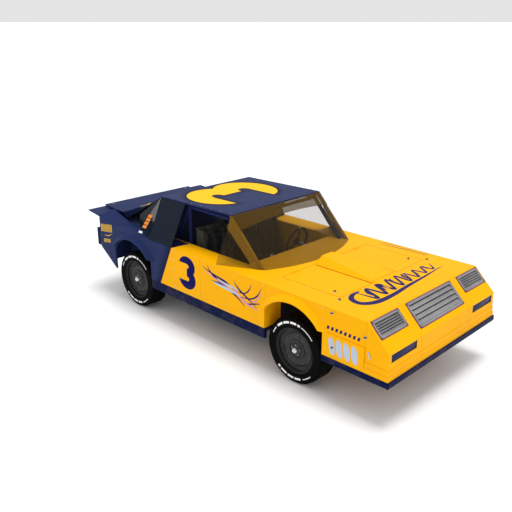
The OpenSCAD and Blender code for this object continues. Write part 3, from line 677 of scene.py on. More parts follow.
def studTree(finish, sides):  # a domed head on every point, standing along the point's facing
    tree, source, drain = nodeTree("studs" + finish, {"Radius": 0.004, "Height": 0.002})
    add, link = tree.nodes.new, tree.links.new
    head = add("GeometryNodeMeshCone")
    head.inputs["Vertices"].default_value = sides
    head.inputs["Side Segments"].default_value = 1
    link(source.outputs["Radius"], head.inputs["Radius Bottom"])
    link(source.outputs["Height"], head.inputs["Depth"])
    topSize = add("ShaderNodeMath")
    topSize.operation = "MULTIPLY"
    topSize.inputs[1].default_value = 0.72
    link(source.outputs["Radius"], topSize.inputs[0])
    link(topSize.outputs[0], head.inputs["Radius Top"])
    named = add("GeometryNodeInputNamedAttribute")
    named.data_type = "FLOAT_VECTOR"
    named.inputs["Name"].default_value = "facing"
    turn = add("FunctionNodeAlignRotationToVector")
    turn.axis = "Z"
    link(named.outputs["Attribute"], turn.inputs["Vector"])
    points = add("GeometryNodeMeshToPoints")
    link(source.outputs["Geometry"], points.inputs["Mesh"])
    place = add("GeometryNodeInstanceOnPoints")
    link(points.outputs[0], place.inputs["Points"])
    link(head.outputs["Mesh"], place.inputs["Instance"])
    link(turn.outputs["Rotation"], place.inputs["Rotation"])
    real = add("GeometryNodeRealizeInstances")
    link(place.outputs[0], real.inputs[0])
    paint = add("GeometryNodeSetMaterial")
    paint.inputs["Material"].default_value = finishes[finish]
    link(real.outputs[0], paint.inputs["Geometry"])
    link(paint.outputs[0], drain.inputs[0])
    return tree


def studs(name, spots, body, finish, radius, height, sides=10):
    # spots rows: place, direction it faces
    mesh = bpy.data.meshes.new(name + "Points")
    mesh.from_pydata([tuple(p) for p, n in spots], [], [])
    facingData = mesh.attributes.new("facing", "FLOAT_VECTOR", "POINT")
    facingData.data.foreach_set("vector", [c for p, n in spots for c in n])
    return runTree(studTree(finish, sides), mesh, name, {"Radius": radius, "Height": height}, body)


def row(start, end, pitch, out):
    start, end = Vector(start), Vector(end)
    count = max(1, round((end - start).length / pitch))
    return [(start.lerp(end, k / count), out) for k in range(count + 1)]


def coilTree(finish):
    tree, source, drain = nodeTree("coil" + finish, {
        "Turns": 7.0, "Coil Radius": 0.05, "Length": 0.25, "Wire": 0.006})
    add, link = tree.nodes.new, tree.links.new
    spiral = add("GeometryNodeCurveSpiral")
    spiral.inputs["Resolution"].default_value = 20
    link(source.outputs["Turns"], spiral.inputs["Rotations"])
    link(source.outputs["Coil Radius"], spiral.inputs["Start Radius"])
    link(source.outputs["Coil Radius"], spiral.inputs["End Radius"])
    link(source.outputs["Length"], spiral.inputs["Height"])
    rod = add("GeometryNodeCurvePrimitiveCircle")
    rod.inputs["Resolution"].default_value = 8
    link(source.outputs["Wire"], rod.inputs["Radius"])
    sweep = add("GeometryNodeCurveToMesh")
    link(spiral.outputs[0], sweep.inputs["Curve"])
    link(rod.outputs["Curve"], sweep.inputs["Profile Curve"])
    sweep.inputs["Fill Caps"].default_value = True
    named = add("GeometryNodeInputNamedAttribute")
    named.data_type = "FLOAT_VECTOR"
    named.inputs["Name"].default_value = "facing"
    turn = add("FunctionNodeAlignRotationToVector")
    turn.axis = "Z"
    link(named.outputs["Attribute"], turn.inputs["Vector"])
    points = add("GeometryNodeMeshToPoints")
    link(source.outputs["Geometry"], points.inputs["Mesh"])
    place = add("GeometryNodeInstanceOnPoints")
    link(points.outputs[0], place.inputs["Points"])
    link(sweep.outputs["Mesh"], place.inputs["Instance"])
    link(turn.outputs["Rotation"], place.inputs["Rotation"])
    real = add("GeometryNodeRealizeInstances")
    link(place.outputs[0], real.inputs[0])
    paint = add("GeometryNodeSetMaterial")
    paint.inputs["Material"].default_value = finishes[finish]
    link(real.outputs[0], paint.inputs["Geometry"])
    link(paint.outputs[0], drain.inputs[0])
    return tree


graphicLook = {"film": 0.0010, "lift": 0.0004}


def flankPlace(side, x, z, y=None):  # drawing laid on a flank, its X forward on the right side
    out = (flankY if y is None else y) + graphicLook["lift"]
    right = (1, 0, 0) if side < 0 else (-1, 0, 0)
    return facing((x, side * out, z), right, (0, 0, 1))


def makeFlankGraphics(side, label):
    film = graphicLook["film"]
    shape = Shape()
    place = flankPlace(side, 0.36, 0.78)
    # dark blades that taper both ways, then lighter ones over them
    blades = (
        ("navyVinyl", ((-0.45, 0.10), (-0.26, 0.05), (-0.08, 0.02), (0.06, -0.03)),
         (0.001, 0.020, 0.026, 0.002)),
        ("navyVinyl", ((-0.36, 0.13), (-0.30, 0.06), (-0.18, 0.00), (-0.02, -0.05)),
         (0.001, 0.016, 0.022, 0.002)),
        ("navyVinyl", ((-0.30, -0.02), (-0.12, -0.03), (0.06, -0.08), (0.22, -0.17)),
         (0.001, 0.018, 0.022, 0.001)),
        ("navyVinyl", ((0.04, 0.07), (0.12, 0.00), (0.24, -0.06), (0.38, -0.13)),
         (0.001, 0.020, 0.020, 0.001)),
        ("navyVinyl", ((0.44, 0.10), (0.38, 0.00), (0.28, -0.06), (0.12, -0.08)),
         (0.001, 0.016, 0.016, 0.001)),
        ("navyVinyl", ((0.30, 0.10), (0.26, 0.02), (0.18, -0.03), (0.04, -0.02)),
         (0.001, 0.014, 0.014, 0.001)),
        ("navyVinyl", ((0.46, -0.06), (0.36, -0.09), (0.26, -0.12), (0.18, -0.11)),
         (0.001, 0.014, 0.014, 0.001)),
        ("lilacVinyl", ((-0.42, 0.06), (-0.26, 0.02), (-0.12, -0.01), (0.00, -0.04)),
         (0.001, 0.010, 0.012, 0.001)),
        ("lilacVinyl", ((0.02, 0.01), (0.12, -0.07), (0.26, -0.13), (0.40, -0.15)),
         (0.001, 0.018, 0.022, 0.001)),
        ("lilacVinyl", ((0.28, -0.09), (0.36, -0.06), (0.41, 0.00), (0.43, 0.06)),
         (0.001, 0.012, 0.010, 0.001)),
        ("greyVinyl", ((-0.26, -0.035), (-0.12, -0.045), (0.02, -0.055), (0.14, -0.075)),
         (0.012, 0.030, 0.030, 0.004)),
        ("greyVinyl", ((-0.20, 0.012), (-0.08, 0.000), (0.03, -0.010), (0.12, -0.028)),
         (0.004, 0.020, 0.020, 0.002)),
    )
    for k, (finish, points, widths) in enumerate(blades):
        shape.stroke(points, widths, film * (1 + 0.25 * k / len(blades)), finish, place)
    # short slanting bars along the nose and rounded bars on the bumper cover
    for k in range(8):
        x = 1.63 + 0.048 * k
        shape.plate([(-0.014, -0.017), (0.010, -0.017), (0.018, 0.017), (-0.006, 0.017)],
                    film, "navyVinyl", flankPlace(side, x, 0.757))
    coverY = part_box("front_bumper")[1].y
    for k in range(4):
        loop = []
        for a in range(24):
            angle = 2 * math.pi * a / 24
            reach = abs(math.cos(angle)) ** 0.75 * math.copysign(1, math.cos(angle))
            loop.append((0.034 * reach - 0.18 * 0.075 * math.sin(angle), 0.085 * math.sin(angle)))
        shape.plate(loop, film, "greyVinyl", flankPlace(side, 1.688 + 0.084 * k, 0.592, coverY))
    shape.plate([(-0.014, 0.03), (0.006, -0.03), (0.022, -0.034), (0.004, 0.026)],
                film, "greyVinyl", flankPlace(side, 2.08, 0.648, coverY - 0.005))
    # two rows of yellow slashes on the quarter
    for k in range(9):
        x = -1.80 - 0.028 * k
        shape.plate([(-0.010, -0.045), (0.006, -0.052), (0.012, 0.045), (-0.004, 0.052)],
                    film, "yellowVinyl", flankPlace(side, x, 0.905 - 0.004 * k))
    for k in range(6):
        x = -1.85 - 0.026 * k
        shape.plate([(-0.008, -0.022), (0.006, -0.026), (0.010, 0.022), (-0.004, 0.026)],
                    film, "yellowVinyl", flankPlace(side, x, 0.735 - 0.004 * k))
    place = flankPlace(side, 0, 0)
    if side > 0:
        place = place @ Matrix.Scale(-1, 4, (1, 0, 0))
    shape.stroke(((-1.79, 0.84), (-1.87, 0.80), (-1.98, 0.785)), (0.001, 0.012, 0.001), film,
                 "yellowVinyl", place)
    return shape.finish("flankGraphics" + label, "root", "blue_paint")


makeFlankGraphics(-1, "Right")
makeFlankGraphics(1, "Left")


def drape(shape, names):  # lifts a flat drawing onto the surface under it
    for k, corner in enumerate(shape.verts):
        tops = []
        for name in names:
            hit, spot = nodes[name].ray_cast(Vector((corner[0], corner[1], 3)), Vector((0, 0, -1)))[:2]
            if hit:
                tops.append(spot.z)
        if tops:
            shape.verts[k] = (corner[0], corner[1], corner[2] + max(0, max(tops) - shelfZ))


def makeNoseGraphic():  # long swash under a leaning zigzag ribbon across the hood's front
    film = graphicLook["film"]
    base = facing((0, 0, shelfZ + graphicLook["lift"]), (1, 0, 0), (0, 1, 0))
    swash = Shape()
    swash.stroke(((1.605, -0.46), (1.612, -0.57), (1.67, -0.655), (1.78, -0.665), (1.86, -0.54),
                  (1.872, -0.30), (1.850, -0.02), (1.834, 0.30), (1.805, 0.70)),
                 (0.020, 0.044, 0.056, 0.062, 0.064, 0.050, 0.040, 0.026, 0.002), film, "navyVinyl", base)
    zigzag, widths = [], []
    count = 16
    for k in range(count + 1):
        share = k / count
        reach = (0.110 - 0.055 * share) * (1 if k % 2 else -1)
        zigzag.append((1.712 + 0.015 * share + reach, -0.535 + 1.16 * share + (0.028 if k % 2 == 0 else 0)))
        widths.append((0.040 if k % 2 else 0.030) * (1 - 0.35 * share))
    widths[0] = widths[-1] = 0.004
    swash.stroke(zigzag, widths, film * 1.2, "navyVinyl", base)
    for k in range(6):
        y = -0.44 + 0.19 * k
        swash.stroke(((1.775 - 0.006 * k, y), (1.69, y + 0.012), (1.615 + 0.010 * k, y + 0.045)),
                     (0.006, 0.044 - 0.003 * k, 0.004), film * 1.4, "navyVinyl", base)
    drape(swash, ("nose_cover",))
    return swash.finish("noseGraphic", "root", "blue_paint")


makeNoseGraphic()


def makeShelfGraphics():  # small dark strokes along the left fender's top
    shape = Shape()
    base = facing((0, 0, shelfZ + graphicLook["lift"]), (1, 0, 0), (0, 1, 0))
    for k in range(9):
        x = 0.96 + 0.064 * k
        shape.stroke(((x, 0.86), (x + 0.02, 0.90), (x + 0.05, 0.885)), (0.002, 0.010, 0.002),
                     graphicLook["film"], "navyVinyl", base, 4)
    shape.stroke(((0.93, 0.83), (1.2, 0.845), (1.53, 0.855)), (0.002, 0.010, 0.002),
                 graphicLook["film"], "navyVinyl", base)
    return shape.finish("shelfGraphics", "root", "blue_paint")


makeShelfGraphics()


def sailPlace(side, x, z):
    # lies on the sail panel's outer face, halfway between the shoulder and the roof
    low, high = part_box("sail_panels")
    share = (z - low.z) / (high.z - low.z)
    out = (flankY - 0.010) + (0.701 + 0.008 - (flankY - 0.010)) * share
    tilt = Vector((0, -side * (flankY - 0.71), high.z - low.z)).normalized()
    right = (1, 0, 0) if side < 0 else (-1, 0, 0)
    return facing((x, side * (out + 0.006), z), right, tilt)


def makeTailGraphics():
    film = graphicLook["film"]
    for side, label in ((-1, "Right"), (1, "Left")):
        shape = Shape()
        turn = 1 if side < 0 else -1
        for k in range(4):
            low = -0.085 + 0.045 * k
            shape.plate([(turn * -0.035 + 0.012 * k * turn, low), (turn * 0.035 + 0.012 * k * turn, low),
                         (turn * 0.045 + 0.012 * k * turn, low + 0.036),
                         (turn * -0.025 + 0.012 * k * turn, low + 0.036)],
                        film, "orangeVinyl", sailPlace(side, -1.17, 1.12))
        shape.plate([(turn * -0.045, -0.055), (turn * 0.02, -0.055), (turn * 0.026, -0.03),
                     (turn * -0.039, -0.03)], film, "whiteVinyl", sailPlace(side, -1.20, 1.03))
        shape.finish("sailGraphics" + label, "root", "blue_paint")
    lid = Shape()
    top = facing((-1.98, 0, 1.0565 + 0.0012), (0, -1, 0), (1, 0, -0.063))
    lid.stroke(((-0.30, -0.03), (-0.22, 0.04), (-0.12, 0.00), (0.02, 0.03), (0.20, 0.02), (0.42, 0.05)),
               (0.020, 0.036, 0.018, 0.030, 0.016, 0.002), film, "yellowVinyl", top)
    for k in range(5):
        lid.stroke(((-0.14 + 0.09 * k, 0.0), (-0.10 + 0.09 * k, 0.05), (-0.08 + 0.09 * k, 0.02)),
                   (0.003, 0.014, 0.003), film * 1.3, "yellowVinyl", top, 5)
    return lid.finish("lidGraphic", "deck_lid", "blue_paint")


makeTailGraphics()
print("graphics laid")


hardware = {"rivet": 0.0045, "rivetHeight": 0.002, "rivetPitch": 0.11, "pinRadius": 0.016}


def makeHoodCreaseShade():
    # a thin red-brown tube along each scoop crease: painted shade in the crease
    shape = Shape()
    for side in (-1, 1):
        start = Vector((hoodLow.x + 0.03, side * 0.207, shelfZ + 0.0006))
        end = Vector((hoodHigh.x - 0.004, side * 0.208, shelfZ + 0.0006))
        shape.tube([start, end], 0.0042, "creaseShadeLine", sides=6, smoothing=0)
    return shape.finish("hoodCreaseShade", "hood", "yellow_paint")


makeHoodCreaseShade()


def makePins(name, spots, body):
    # each pin: round plate, post with a flat spring clip through it
    shape = Shape()
    radius = hardware["pinRadius"]
    for place, out in spots:
        stand = standing(place, out)
        shape.lathe(((0, 0.0), (radius, 0.0), (radius, 0.0016), (radius * 0.86, 0.0028), (0, 0.0030)),
                    stand, "bright", 24)
        shape.lathe(((0, 0.002), (0.006, 0.002), (0.006, 0.013), (0.004, 0.016), (0, 0.0165)),
                    stand, "black", 16)
        shape.tube([stand @ Vector(p) for p in ((-0.014, 0, 0.009), (0.016, 0, 0.009), (0.020, 0.006, 0.009),
                                                (0.014, 0.010, 0.009), (-0.010, 0.006, 0.009))],
                   0.0014, "black", 6, smoothing=3)
    return shape.finish(name, body, "grey_metal")


makePins("hoodPins", [((1.45, side * 0.62, shelfZ), (0, 0, 1)) for side in (-1, 1)], "hood")
nosePins = []
for side in (-1, 1):
    nosePins += [((1.668, side * flankY, 0.906), (0, side, 0)), ((2.031, side * flankY, 0.797), (0, side, 0)),
                 ((1.694, side * (flankY + 0.010), 0.581), (0, side, 0)),
                 ((1.60, side * 0.74, shelfZ), (0, 0, 1))]
makePins("nosePins", nosePins, "root")
makePins("lidPins", [((-2.24, side * 0.60, 1.0728), (0.06, 0, 1)) for side in (-1, 1)], "deck_lid")


def makeRivets():
    pitch = hardware["rivetPitch"]
    spots = []
    for side in (-1, 1):
        out = (0, side, 0)
        y = side * flankY
        for x in (-0.553, -0.581, 0.826, 1.560):
            spots += row((x, y, 0.70 if x > 0.8 else 0.50), (x, y, 0.92), pitch, out)
        spots += row((-0.55, y, 0.484), (0.80, y, 0.484), pitch * 1.5, out)
        spots += row((-2.045, y, 0.66), (-2.045, y, 1.00), pitch, out)
        spots += row((-0.55, side * 0.922, shelfZ), (0.80, side * 0.922, shelfZ), pitch * 1.5, (0, 0, 1))
        spots += row((-0.55, side * 0.712, shelfZ), (0.33, side * 0.712, shelfZ), pitch * 1.5, (0, 0, 1))
        spots += row((0.86, side * 0.712, shelfZ), (1.55, side * 0.712, shelfZ), pitch * 1.5, (0, 0, 1))
        spots += row((1.590, side * 0.10, shelfZ), (1.590, side * 0.90, shelfZ), pitch * 1.2, (0, 0, 1))
        spots += row((-1.02, side * 0.685, roofHigh.z - 0.0218), (0.12, side * 0.685, roofHigh.z - 0.0006),
                     pitch * 1.4, (-0.019, 0, 1))
    studs("panelRivets", spots, "root", "greyVinyl", hardware["rivet"], hardware["rivetHeight"])
    glassBolts = row((0.118, -0.62, 1.4205), (0.118, 0.62, 1.4205), 0.155, (-0.019, 0, 1))
    studs("windshieldScrews", glassBolts, "root", "black", 0.005, 0.0024, 6)


makeRivets()


def makeWheelDetails():
    # nuts round each hub, a valve stem, and broken white arcs on the tyre's sidewall
    arcs = ((76, 140, 0.278, 0.300), (40, 73, 0.285, 0.294), (143, 158, 0.285, 0.294),
            (228, 292, 0.278, 0.300), (295, 318, 0.285, 0.294))
    for end, axle in (("front", frontAxle), ("rear", rearAxle)):
        for side, label in ((-1, "right"), (1, "left")):
            body = "wheel_%s_%s" % (end, label)
            hub = Vector((axle.x, side * (tyreOut - 0.048 + 0.006), axle.z))
            spots = []
            for k in range(5):
                angle = 2 * math.pi * (k + 0.25) / 5
                spots.append((hub + Vector((0.051 * math.cos(angle), 0, 0.051 * math.sin(angle))),
                              (0, side, 0)))
            studs("wheelNuts_" + end + "_" + label, spots, body, "bright", 0.0085, 0.016,
                  6)
            shape = Shape()
            stand = standing((axle.x, side * (tyreOut - 0.0002), axle.z), (0, side, 0))
            for low, high, inner, outer in arcs:
                steps = max(3, (high - low) // 3)
                lower, upper = [], []
                for k in range(steps + 1):
                    angle = math.radians(low + (high - low) * k / steps)
                    lower.append((inner * math.cos(angle), inner * math.sin(angle)))
                    upper.append((outer * math.cos(angle), outer * math.sin(angle)))
                gaps = 1 if outer - inner < 0.01 else 7
                span = steps / gaps
                for g in range(gaps):
                    a = int(round(g * span))
                    b = int(round((g + 1) * span - (0.5 if gaps > 1 else 0)))
                    if b > a:
                        shape.plate(lower[a:b + 1] + upper[a:b + 1][::-1], 0.0008, "whiteVinyl", stand)
            # raised rings on the sidewall
            for radius in (0.262, 0.306):
                ring = [(radius - 0.002, -0.001), (radius - 0.0012, 0.0012), (radius + 0.0012, 0.0012),
                        (radius + 0.002, -0.001)]
                shape.lathe(ring, stand, "rubberPlain", 96, ring=True)
            shape.finish("sidewall_" + end + "_" + label, body, "tyre_rubber")
            dish = Shape()
            stand = standing((axle.x, side * (tyreOut - 0.048), axle.z), (0, side, 0))
            # rolled rim flange, a step in the dish, a ring round the hub and the valve
            dish.lathe([(0.222, 0.020), (0.2265, 0.0365), (0.2335, 0.0365), (0.2335, 0.0305),
                        (0.2285, 0.0300), (0.2262, 0.018)], stand, "wheelPlain", 96, ring=True)
            dish.lathe([(0.172, -0.001), (0.175, 0.0075), (0.186, 0.0085), (0.190, -0.001)],
                       stand, "wheelPlain", 96, ring=True)
            dish.lathe([(0.082, -0.001), (0.085, 0.009), (0.098, 0.010), (0.104, -0.001)],
                       stand, "wheelPlain", 96, ring=True)
            dish.tube([stand @ Vector(p) for p in ((0.205, 0, 0.0), (0.203, 0, 0.012), (0.198, 0, 0.024))],
                      0.0035, "hose", 8, smoothing=3)
            dish.finish("wheelRings_" + end + "_" + label, body, "wheel_steel")


finishes["rubberPlain"] = plasticPaint("rubberPlain", linear(6, 6, 6), 0.7, 0.2)
finishes["wheelPlain"] = plasticPaint("wheelPlain", linear(50, 50, 50), 0.5)
makeWheelDetails()
print("hardware placed")


grilleLook = {"frame": 0.026}


def makeGrilles():
    # frames and louvres on the nose's slope, with the dark duct behind them
    top = Vector((2.048, 0, shelfZ))
    down = Vector((2.275 - 2.048, 0, 0.719 - shelfZ)).normalized()
    shape = Shape()
    # each row: middle along Y, half width, start and end down the slope, slats
    for mid, half, start, end, slats in ((0, 0.385, 0.014, 0.262, 4), (0.71, 0.200, 0.014, 0.182, 5),
                                         (-0.71, 0.200, 0.014, 0.182, 5)):
        origin = top + Vector((0, mid, 0))
        place = facing(origin, (0, 1, 0), -down)  # drawing X along Y, its Y up the slope
        rim = grilleLook["frame"]
        lift = 0.0075
        bars = ((-half, half, -start, -start - rim), (-half, half, -end + rim, -end),
                (-half, -half + rim, -start, -end), (half - rim, half, -start, -end))
        for x0, x1, y1, y0 in bars:
            shape.box((x0 + 0.001, y0 + 0.001, -0.016), (x1 - 0.001, y1 - 0.001, lift),
                      "grille", 0.003, place)
        edge = [(-half, -start), (half, -start), (half, -end), (-half, -end)]
        corners = [place @ Vector((x, y, 0.0015)) for x, y in edge]
        trimLine = []
        for corner, following in zip(corners, corners[1:] + corners[:1]):
            trimLine += [corner, corner.lerp(following, 0.5)]
        shape.tube(trimLine,
                   0.0065, "frameEdge", 6, closed=True, smoothing=0)
        pitch = (end - start - 2 * rim) / slats
        for k in range(slats):
            low = -start - rim - pitch * (k + 0.96)
            high = low + pitch * 0.80
            work = bmesh.new()
            section = ((low, 0.0005), (low - 0.001, 0.003), (high, -0.010), (high + 0.001, -0.0125))
            ends = []
            for x in (-half + rim - 0.002, half - rim + 0.002):
                ends.append([work.verts.new((x, y, z)) for y, z in section])
            work.faces.new(ends[0])
            work.faces.new(ends[1])
            for i in range(4):
                j = (i + 1) % 4
                work.faces.new((ends[0][i], ends[0][j], ends[1][j], ends[1][i]))
            shape.add(work, "grille", place, smooth=False)
        shape.box((-half + 0.004, -end + 0.004, -0.0155), (half - 0.004, -start - 0.004, -0.0135),
                  "black", 0, place)
    grille = shape.finish("noseGrilles", "root", "grille_plastic")
    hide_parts("grilles")


makeGrilles()


def makeLamps():
    # shallow lens, its ribs and a surround in each bumper recess
    shape = Shape()
    faceX = 2.275 - 0.006
    for side in (-1, 1):
        low, high = (0.500, 0.892)
        y0, y1 = sorted((side * low, side * high))
        z0, z1 = 0.719 - 0.088, 0.719 - 0.012
        shape.box((faceX - 0.001, y0 + 0.003, z0 + 0.003), (faceX + 0.0025, y1 - 0.003, z1 - 0.003),
                  "lamp", 0.001)
        for k in range(2):
            z = z0 + 0.022 + 0.026 * k
            shape.box((faceX + 0.002, y0 + 0.008, z), (faceX + 0.005, y1 - 0.008, z + 0.005), "lamp", 0.001)
        for z in (z0, z1 - 0.004):
            shape.box((faceX - 0.001, y0 + 0.001, z), (faceX + 0.0055, y1 - 0.001, z + 0.004),
                      "black", 0.0008)
        for y in (y0 + 0.001, y1 - 0.005):
            shape.box((faceX - 0.001, y, z0), (faceX + 0.0055, y + 0.004, z1), "black", 0.0008)
    return shape.finish("lowerLamps", "root", "blue_glass")


makeLamps()
print("grilles and lamps made")


springLook = {"frontTurns": 8.0, "rearTurns": 6.0, "wire": 0.007}


def makeWheelhouses():
    shape = Shape()
    thick = 0.003
    for side in (-1, 1):
        y0, y1 = sorted((side * 0.662, side * (flankY - 0.024)))
        # rear house: a wall at its aft end, an inner wall and a top, all clear of the tyre
        inner = sorted((side * 0.664, side * 0.660))
        shape.box((-1.80, y0, 0.50), (-1.80 + thick, y1, 0.885), "blue", 0)
        shape.box((-1.80, inner[0], 0.42), (-1.03, inner[1], 0.885), "blue", 0)
        shape.box((-1.80, y0, 0.885), (-1.03, y1, 0.888), "blue", 0)
        # front house: inner splash panel above the rail
        splash = sorted((side * 0.545, side * 0.549))
        shape.box((0.850, splash[0], 0.62), (1.560, splash[1], 0.915), "yellow", 0.001)
    return shape.finish("wheelhousePanels", "root", "blue_paint")


makeWheelhouses()


def makeSprings():
    for side, label in ((-1, "Right"), (1, "Left")):
        mesh = bpy.data.meshes.new("coilSpot" + label)
        mesh.from_pydata([(rearAxle.x, side * 0.43, 0.246)], [], [])
        data = mesh.attributes.new("facing", "FLOAT_VECTOR", "POINT")
        data.data.foreach_set("vector", (0, 0, 1))
        runTree(coilTree("redCover"), mesh, "rearCoil" + label, {
            "Turns": springLook["rearTurns"], "Coil Radius": 0.048, "Length": 0.060,
            "Wire": springLook["wire"]}, "root")
        # front damper with its spring, from the lower arm's inner end up to the splash panel
        low = Vector((frontAxle.x, side * 0.500, 0.262))
        high = Vector((frontAxle.x - 0.030, side * 0.500, 0.80))
        shape = Shape()
        axis = high - low
        length = axis.length
        shape.lathe(((0, 0), (0.022, 0), (0.026, 0.004), (0.026, length * 0.55), (0.022, length * 0.56),
                     (0.011, length * 0.565), (0.011, length - 0.03), (0.030, length - 0.028),
                     (0.030, length - 0.006), (0.024, length), (0, length)),
                    standing(low, axis), "frontDamper", 24)
        shape.lathe([(0.030, 0.10), (0.052, 0.104), (0.052, 0.110), (0.030, 0.114)],
                    standing(low, axis), "bright", 32, ring=True)
        shape.finish("frontDamper" + label, "root", "chassis_paint")
        mesh = bpy.data.meshes.new("coilSpot")
        mesh.from_pydata([tuple(low + axis * 0.22)], [], [])
        data = mesh.attributes.new("facing", "FLOAT_VECTOR", "POINT")
        data.data.foreach_set("vector", tuple(axis))
        runTree(coilTree("frontDamper"), mesh, "frontCoil" + label, {
            "Turns": springLook["frontTurns"], "Coil Radius": 0.042, "Length": length * 0.70,
            "Wire": springLook["wire"]}, "root")


finishes["frontDamper"] = flatPaint("frontDamper", linear(16, 40, 120))
makeSprings()
print("suspension details made")


engineLook = {"bank": 38}


def makeEngine():
    low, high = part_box("engine_block")
    mid = (low + high) / 2
    shape = Shape()
    shape.box((low.x + 0.06, -0.14, low.z + 0.13), (high.x - 0.08, 0.14, low.z + 0.30), "iron", 0.02)
    shape.box((low.x + 0.09, -0.11, low.z + 0.005), (high.x - 0.16, 0.11, low.z + 0.14), "black", 0.03)
    shape.box((low.x, -0.10, low.z + 0.06), (low.x + 0.08, 0.10, low.z + 0.26), "iron", 0.03)
    for side in (-1, 1):
        turn = Matrix.Translation((0, side * 0.10, low.z + 0.30)) @ Matrix.Rotation(
            math.radians(-side * engineLook["bank"]), 4, "X")
        shape.box((low.x + 0.09, -0.075, -0.03), (high.x - 0.11, 0.075, 0.075), "iron", 0.008, turn)
        shape.box((low.x + 0.11, -0.052, 0.073), (high.x - 0.13, 0.052, 0.135), "redCover", 0.018, turn)
        for k in range(4):
            x = low.x + 0.155 + 0.105 * k
            shape.box((x, -0.054, 0.12), (x + 0.012, 0.054, 0.139), "bright", 0.003, turn)
        # header pipes down to a collector
        for k in range(4):
            x = low.x + 0.16 + 0.11 * k
            shape.tube([(x, side * 0.175, low.z + 0.33), (x - 0.03, side * 0.225, low.z + 0.30),
                        (x * 0.6 + (low.x + 0.05) * 0.4, side * 0.228, low.z + 0.17),
                        (low.x + 0.06, side * 0.215, low.z + 0.09)], 0.019, "iron", 10, smoothing=5)
        shape.tube([(low.x + 0.07, side * 0.215, low.z + 0.09), (low.x + 0.004, side * 0.20, low.z + 0.05)],
                   0.036, "iron", 14, smoothing=2)
    shape.box((low.x + 0.14, -0.085, low.z + 0.29), (high.x - 0.17, 0.085, low.z + 0.385), "bright", 0.015)
    centre = Vector((mid.x - 0.02, 0, low.z + 0.38))
    shape.box((centre.x - 0.07, -0.06, centre.z), (centre.x + 0.07, 0.06, centre.z + 0.06), "bright", 0.01)
    # air cleaner: base, pleated element and lid with its wing nut
    up = standing((centre.x, 0, centre.z + 0.055), (0, 0, 1))
    shape.lathe(((0, 0), (0.165, 0), (0.172, 0.004), (0.170, 0.010), (0, 0.010)), up, "bright", 64)
    shape.lathe(((0.10, 0.009), (0.158, 0.009), (0.158, 0.062), (0.10, 0.062)), up,
                "whiteVinyl", 96, ring=True)
    shape.lathe(((0, 0.060), (0.170, 0.060), (0.172, 0.066), (0.160, 0.072), (0, 0.076)), up, "bright", 64)
    shape.lathe(((0, 0.074), (0.012, 0.075), (0.009, 0.090), (0, 0.092)), up, "black", 16)
    # distributor, pulleys, fan and hoses
    rear = standing((low.x + 0.10, 0, low.z + 0.34), (0, 0, 1))
    shape.lathe(((0, 0), (0.03, 0), (0.03, 0.06), (0.052, 0.065), (0.052, 0.10), (0.03, 0.115), (0, 0.118)),
                rear, "black", 32)
    for y, z, radius in ((0, 0.16, 0.075), (0, 0.31, 0.062), (0.15, 0.36, 0.038), (-0.15, 0.34, 0.045)):
        front = standing((high.x - 0.085, y, low.z + z), (1, 0, 0))
        shape.lathe(((0, 0), (radius, 0), (radius, 0.006), (radius * 0.86, 0.012), (radius, 0.018),
                     (radius, 0.024), (0, 0.026)), front, "bright", 40)
    belt = [(high.x - 0.073, p[0], low.z + p[1]) for p in (
        (0.072, 0.15), (0.16, 0.33), (0.178, 0.375), (0.14, 0.40), (0.03, 0.372), (-0.12, 0.378),
        (-0.19, 0.35), (-0.175, 0.31), (-0.06, 0.12), (0, 0.088), (0.055, 0.11))]
    shape.tube(belt, 0.006, "hose", 6, closed=True, smoothing=6)
    fan = standing((high.x - 0.052, 0, low.z + 0.31), (1, 0, 0))
    shape.lathe(((0, 0), (0.04, 0), (0.04, 0.02), (0, 0.024)), fan, "black", 24)
    for k in range(6):
        turn = fan @ Matrix.Rotation(2 * math.pi * k / 6, 4, "Z") @ Matrix.Rotation(math.radians(24), 4, "X")
        shape.box((0.03, -0.030, 0.010), (0.18, 0.030, 0.013), "bright", 0.001, turn)
    shape.tube([(high.x - 0.16, 0.06, low.z + 0.40), (high.x - 0.06, 0.10, low.z + 0.45),
                (high.x + 0.10, 0.16, low.z + 0.46), (high.x + 0.26, 0.20, low.z + 0.44)], 0.020, "hose", 14)
    shape.tube([(high.x - 0.10, -0.12, low.z + 0.22), (high.x, -0.17, low.z + 0.20),
                (high.x + 0.12, -0.20, low.z + 0.24), (high.x + 0.26, -0.22, low.z + 0.28)],
               0.020, "hose", 14)
    for side in (-1, 1):
        for k in range(4):
            x = low.x + 0.16 + 0.11 * k
            shape.tube([(low.x + 0.11, side * 0.03, low.z + 0.455), (x - 0.02, side * 0.10, low.z + 0.47),
                        (x, side * 0.185, low.z + 0.40), (x, side * 0.195, low.z + 0.335)],
                       0.0045, "redCover", 6)
    # radiator with its tanks
    shape.box((1.66, -0.30, 0.52), (1.71, 0.30, 0.86), "black", 0.006)
    for z in (0.50, 0.85):
        shape.box((1.650, -0.31, z), (1.720, 0.31, z + 0.045), "bright", 0.012)
    for side in (-1, 1):
        shape.box((1.655, side * 0.30 - 0.01, 0.25), (1.715, side * 0.30 + 0.01, 0.88),
                  "chassis", 0.003)
    engine = shape.finish("engine", "root", "engine_iron")
    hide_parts("engine_block")


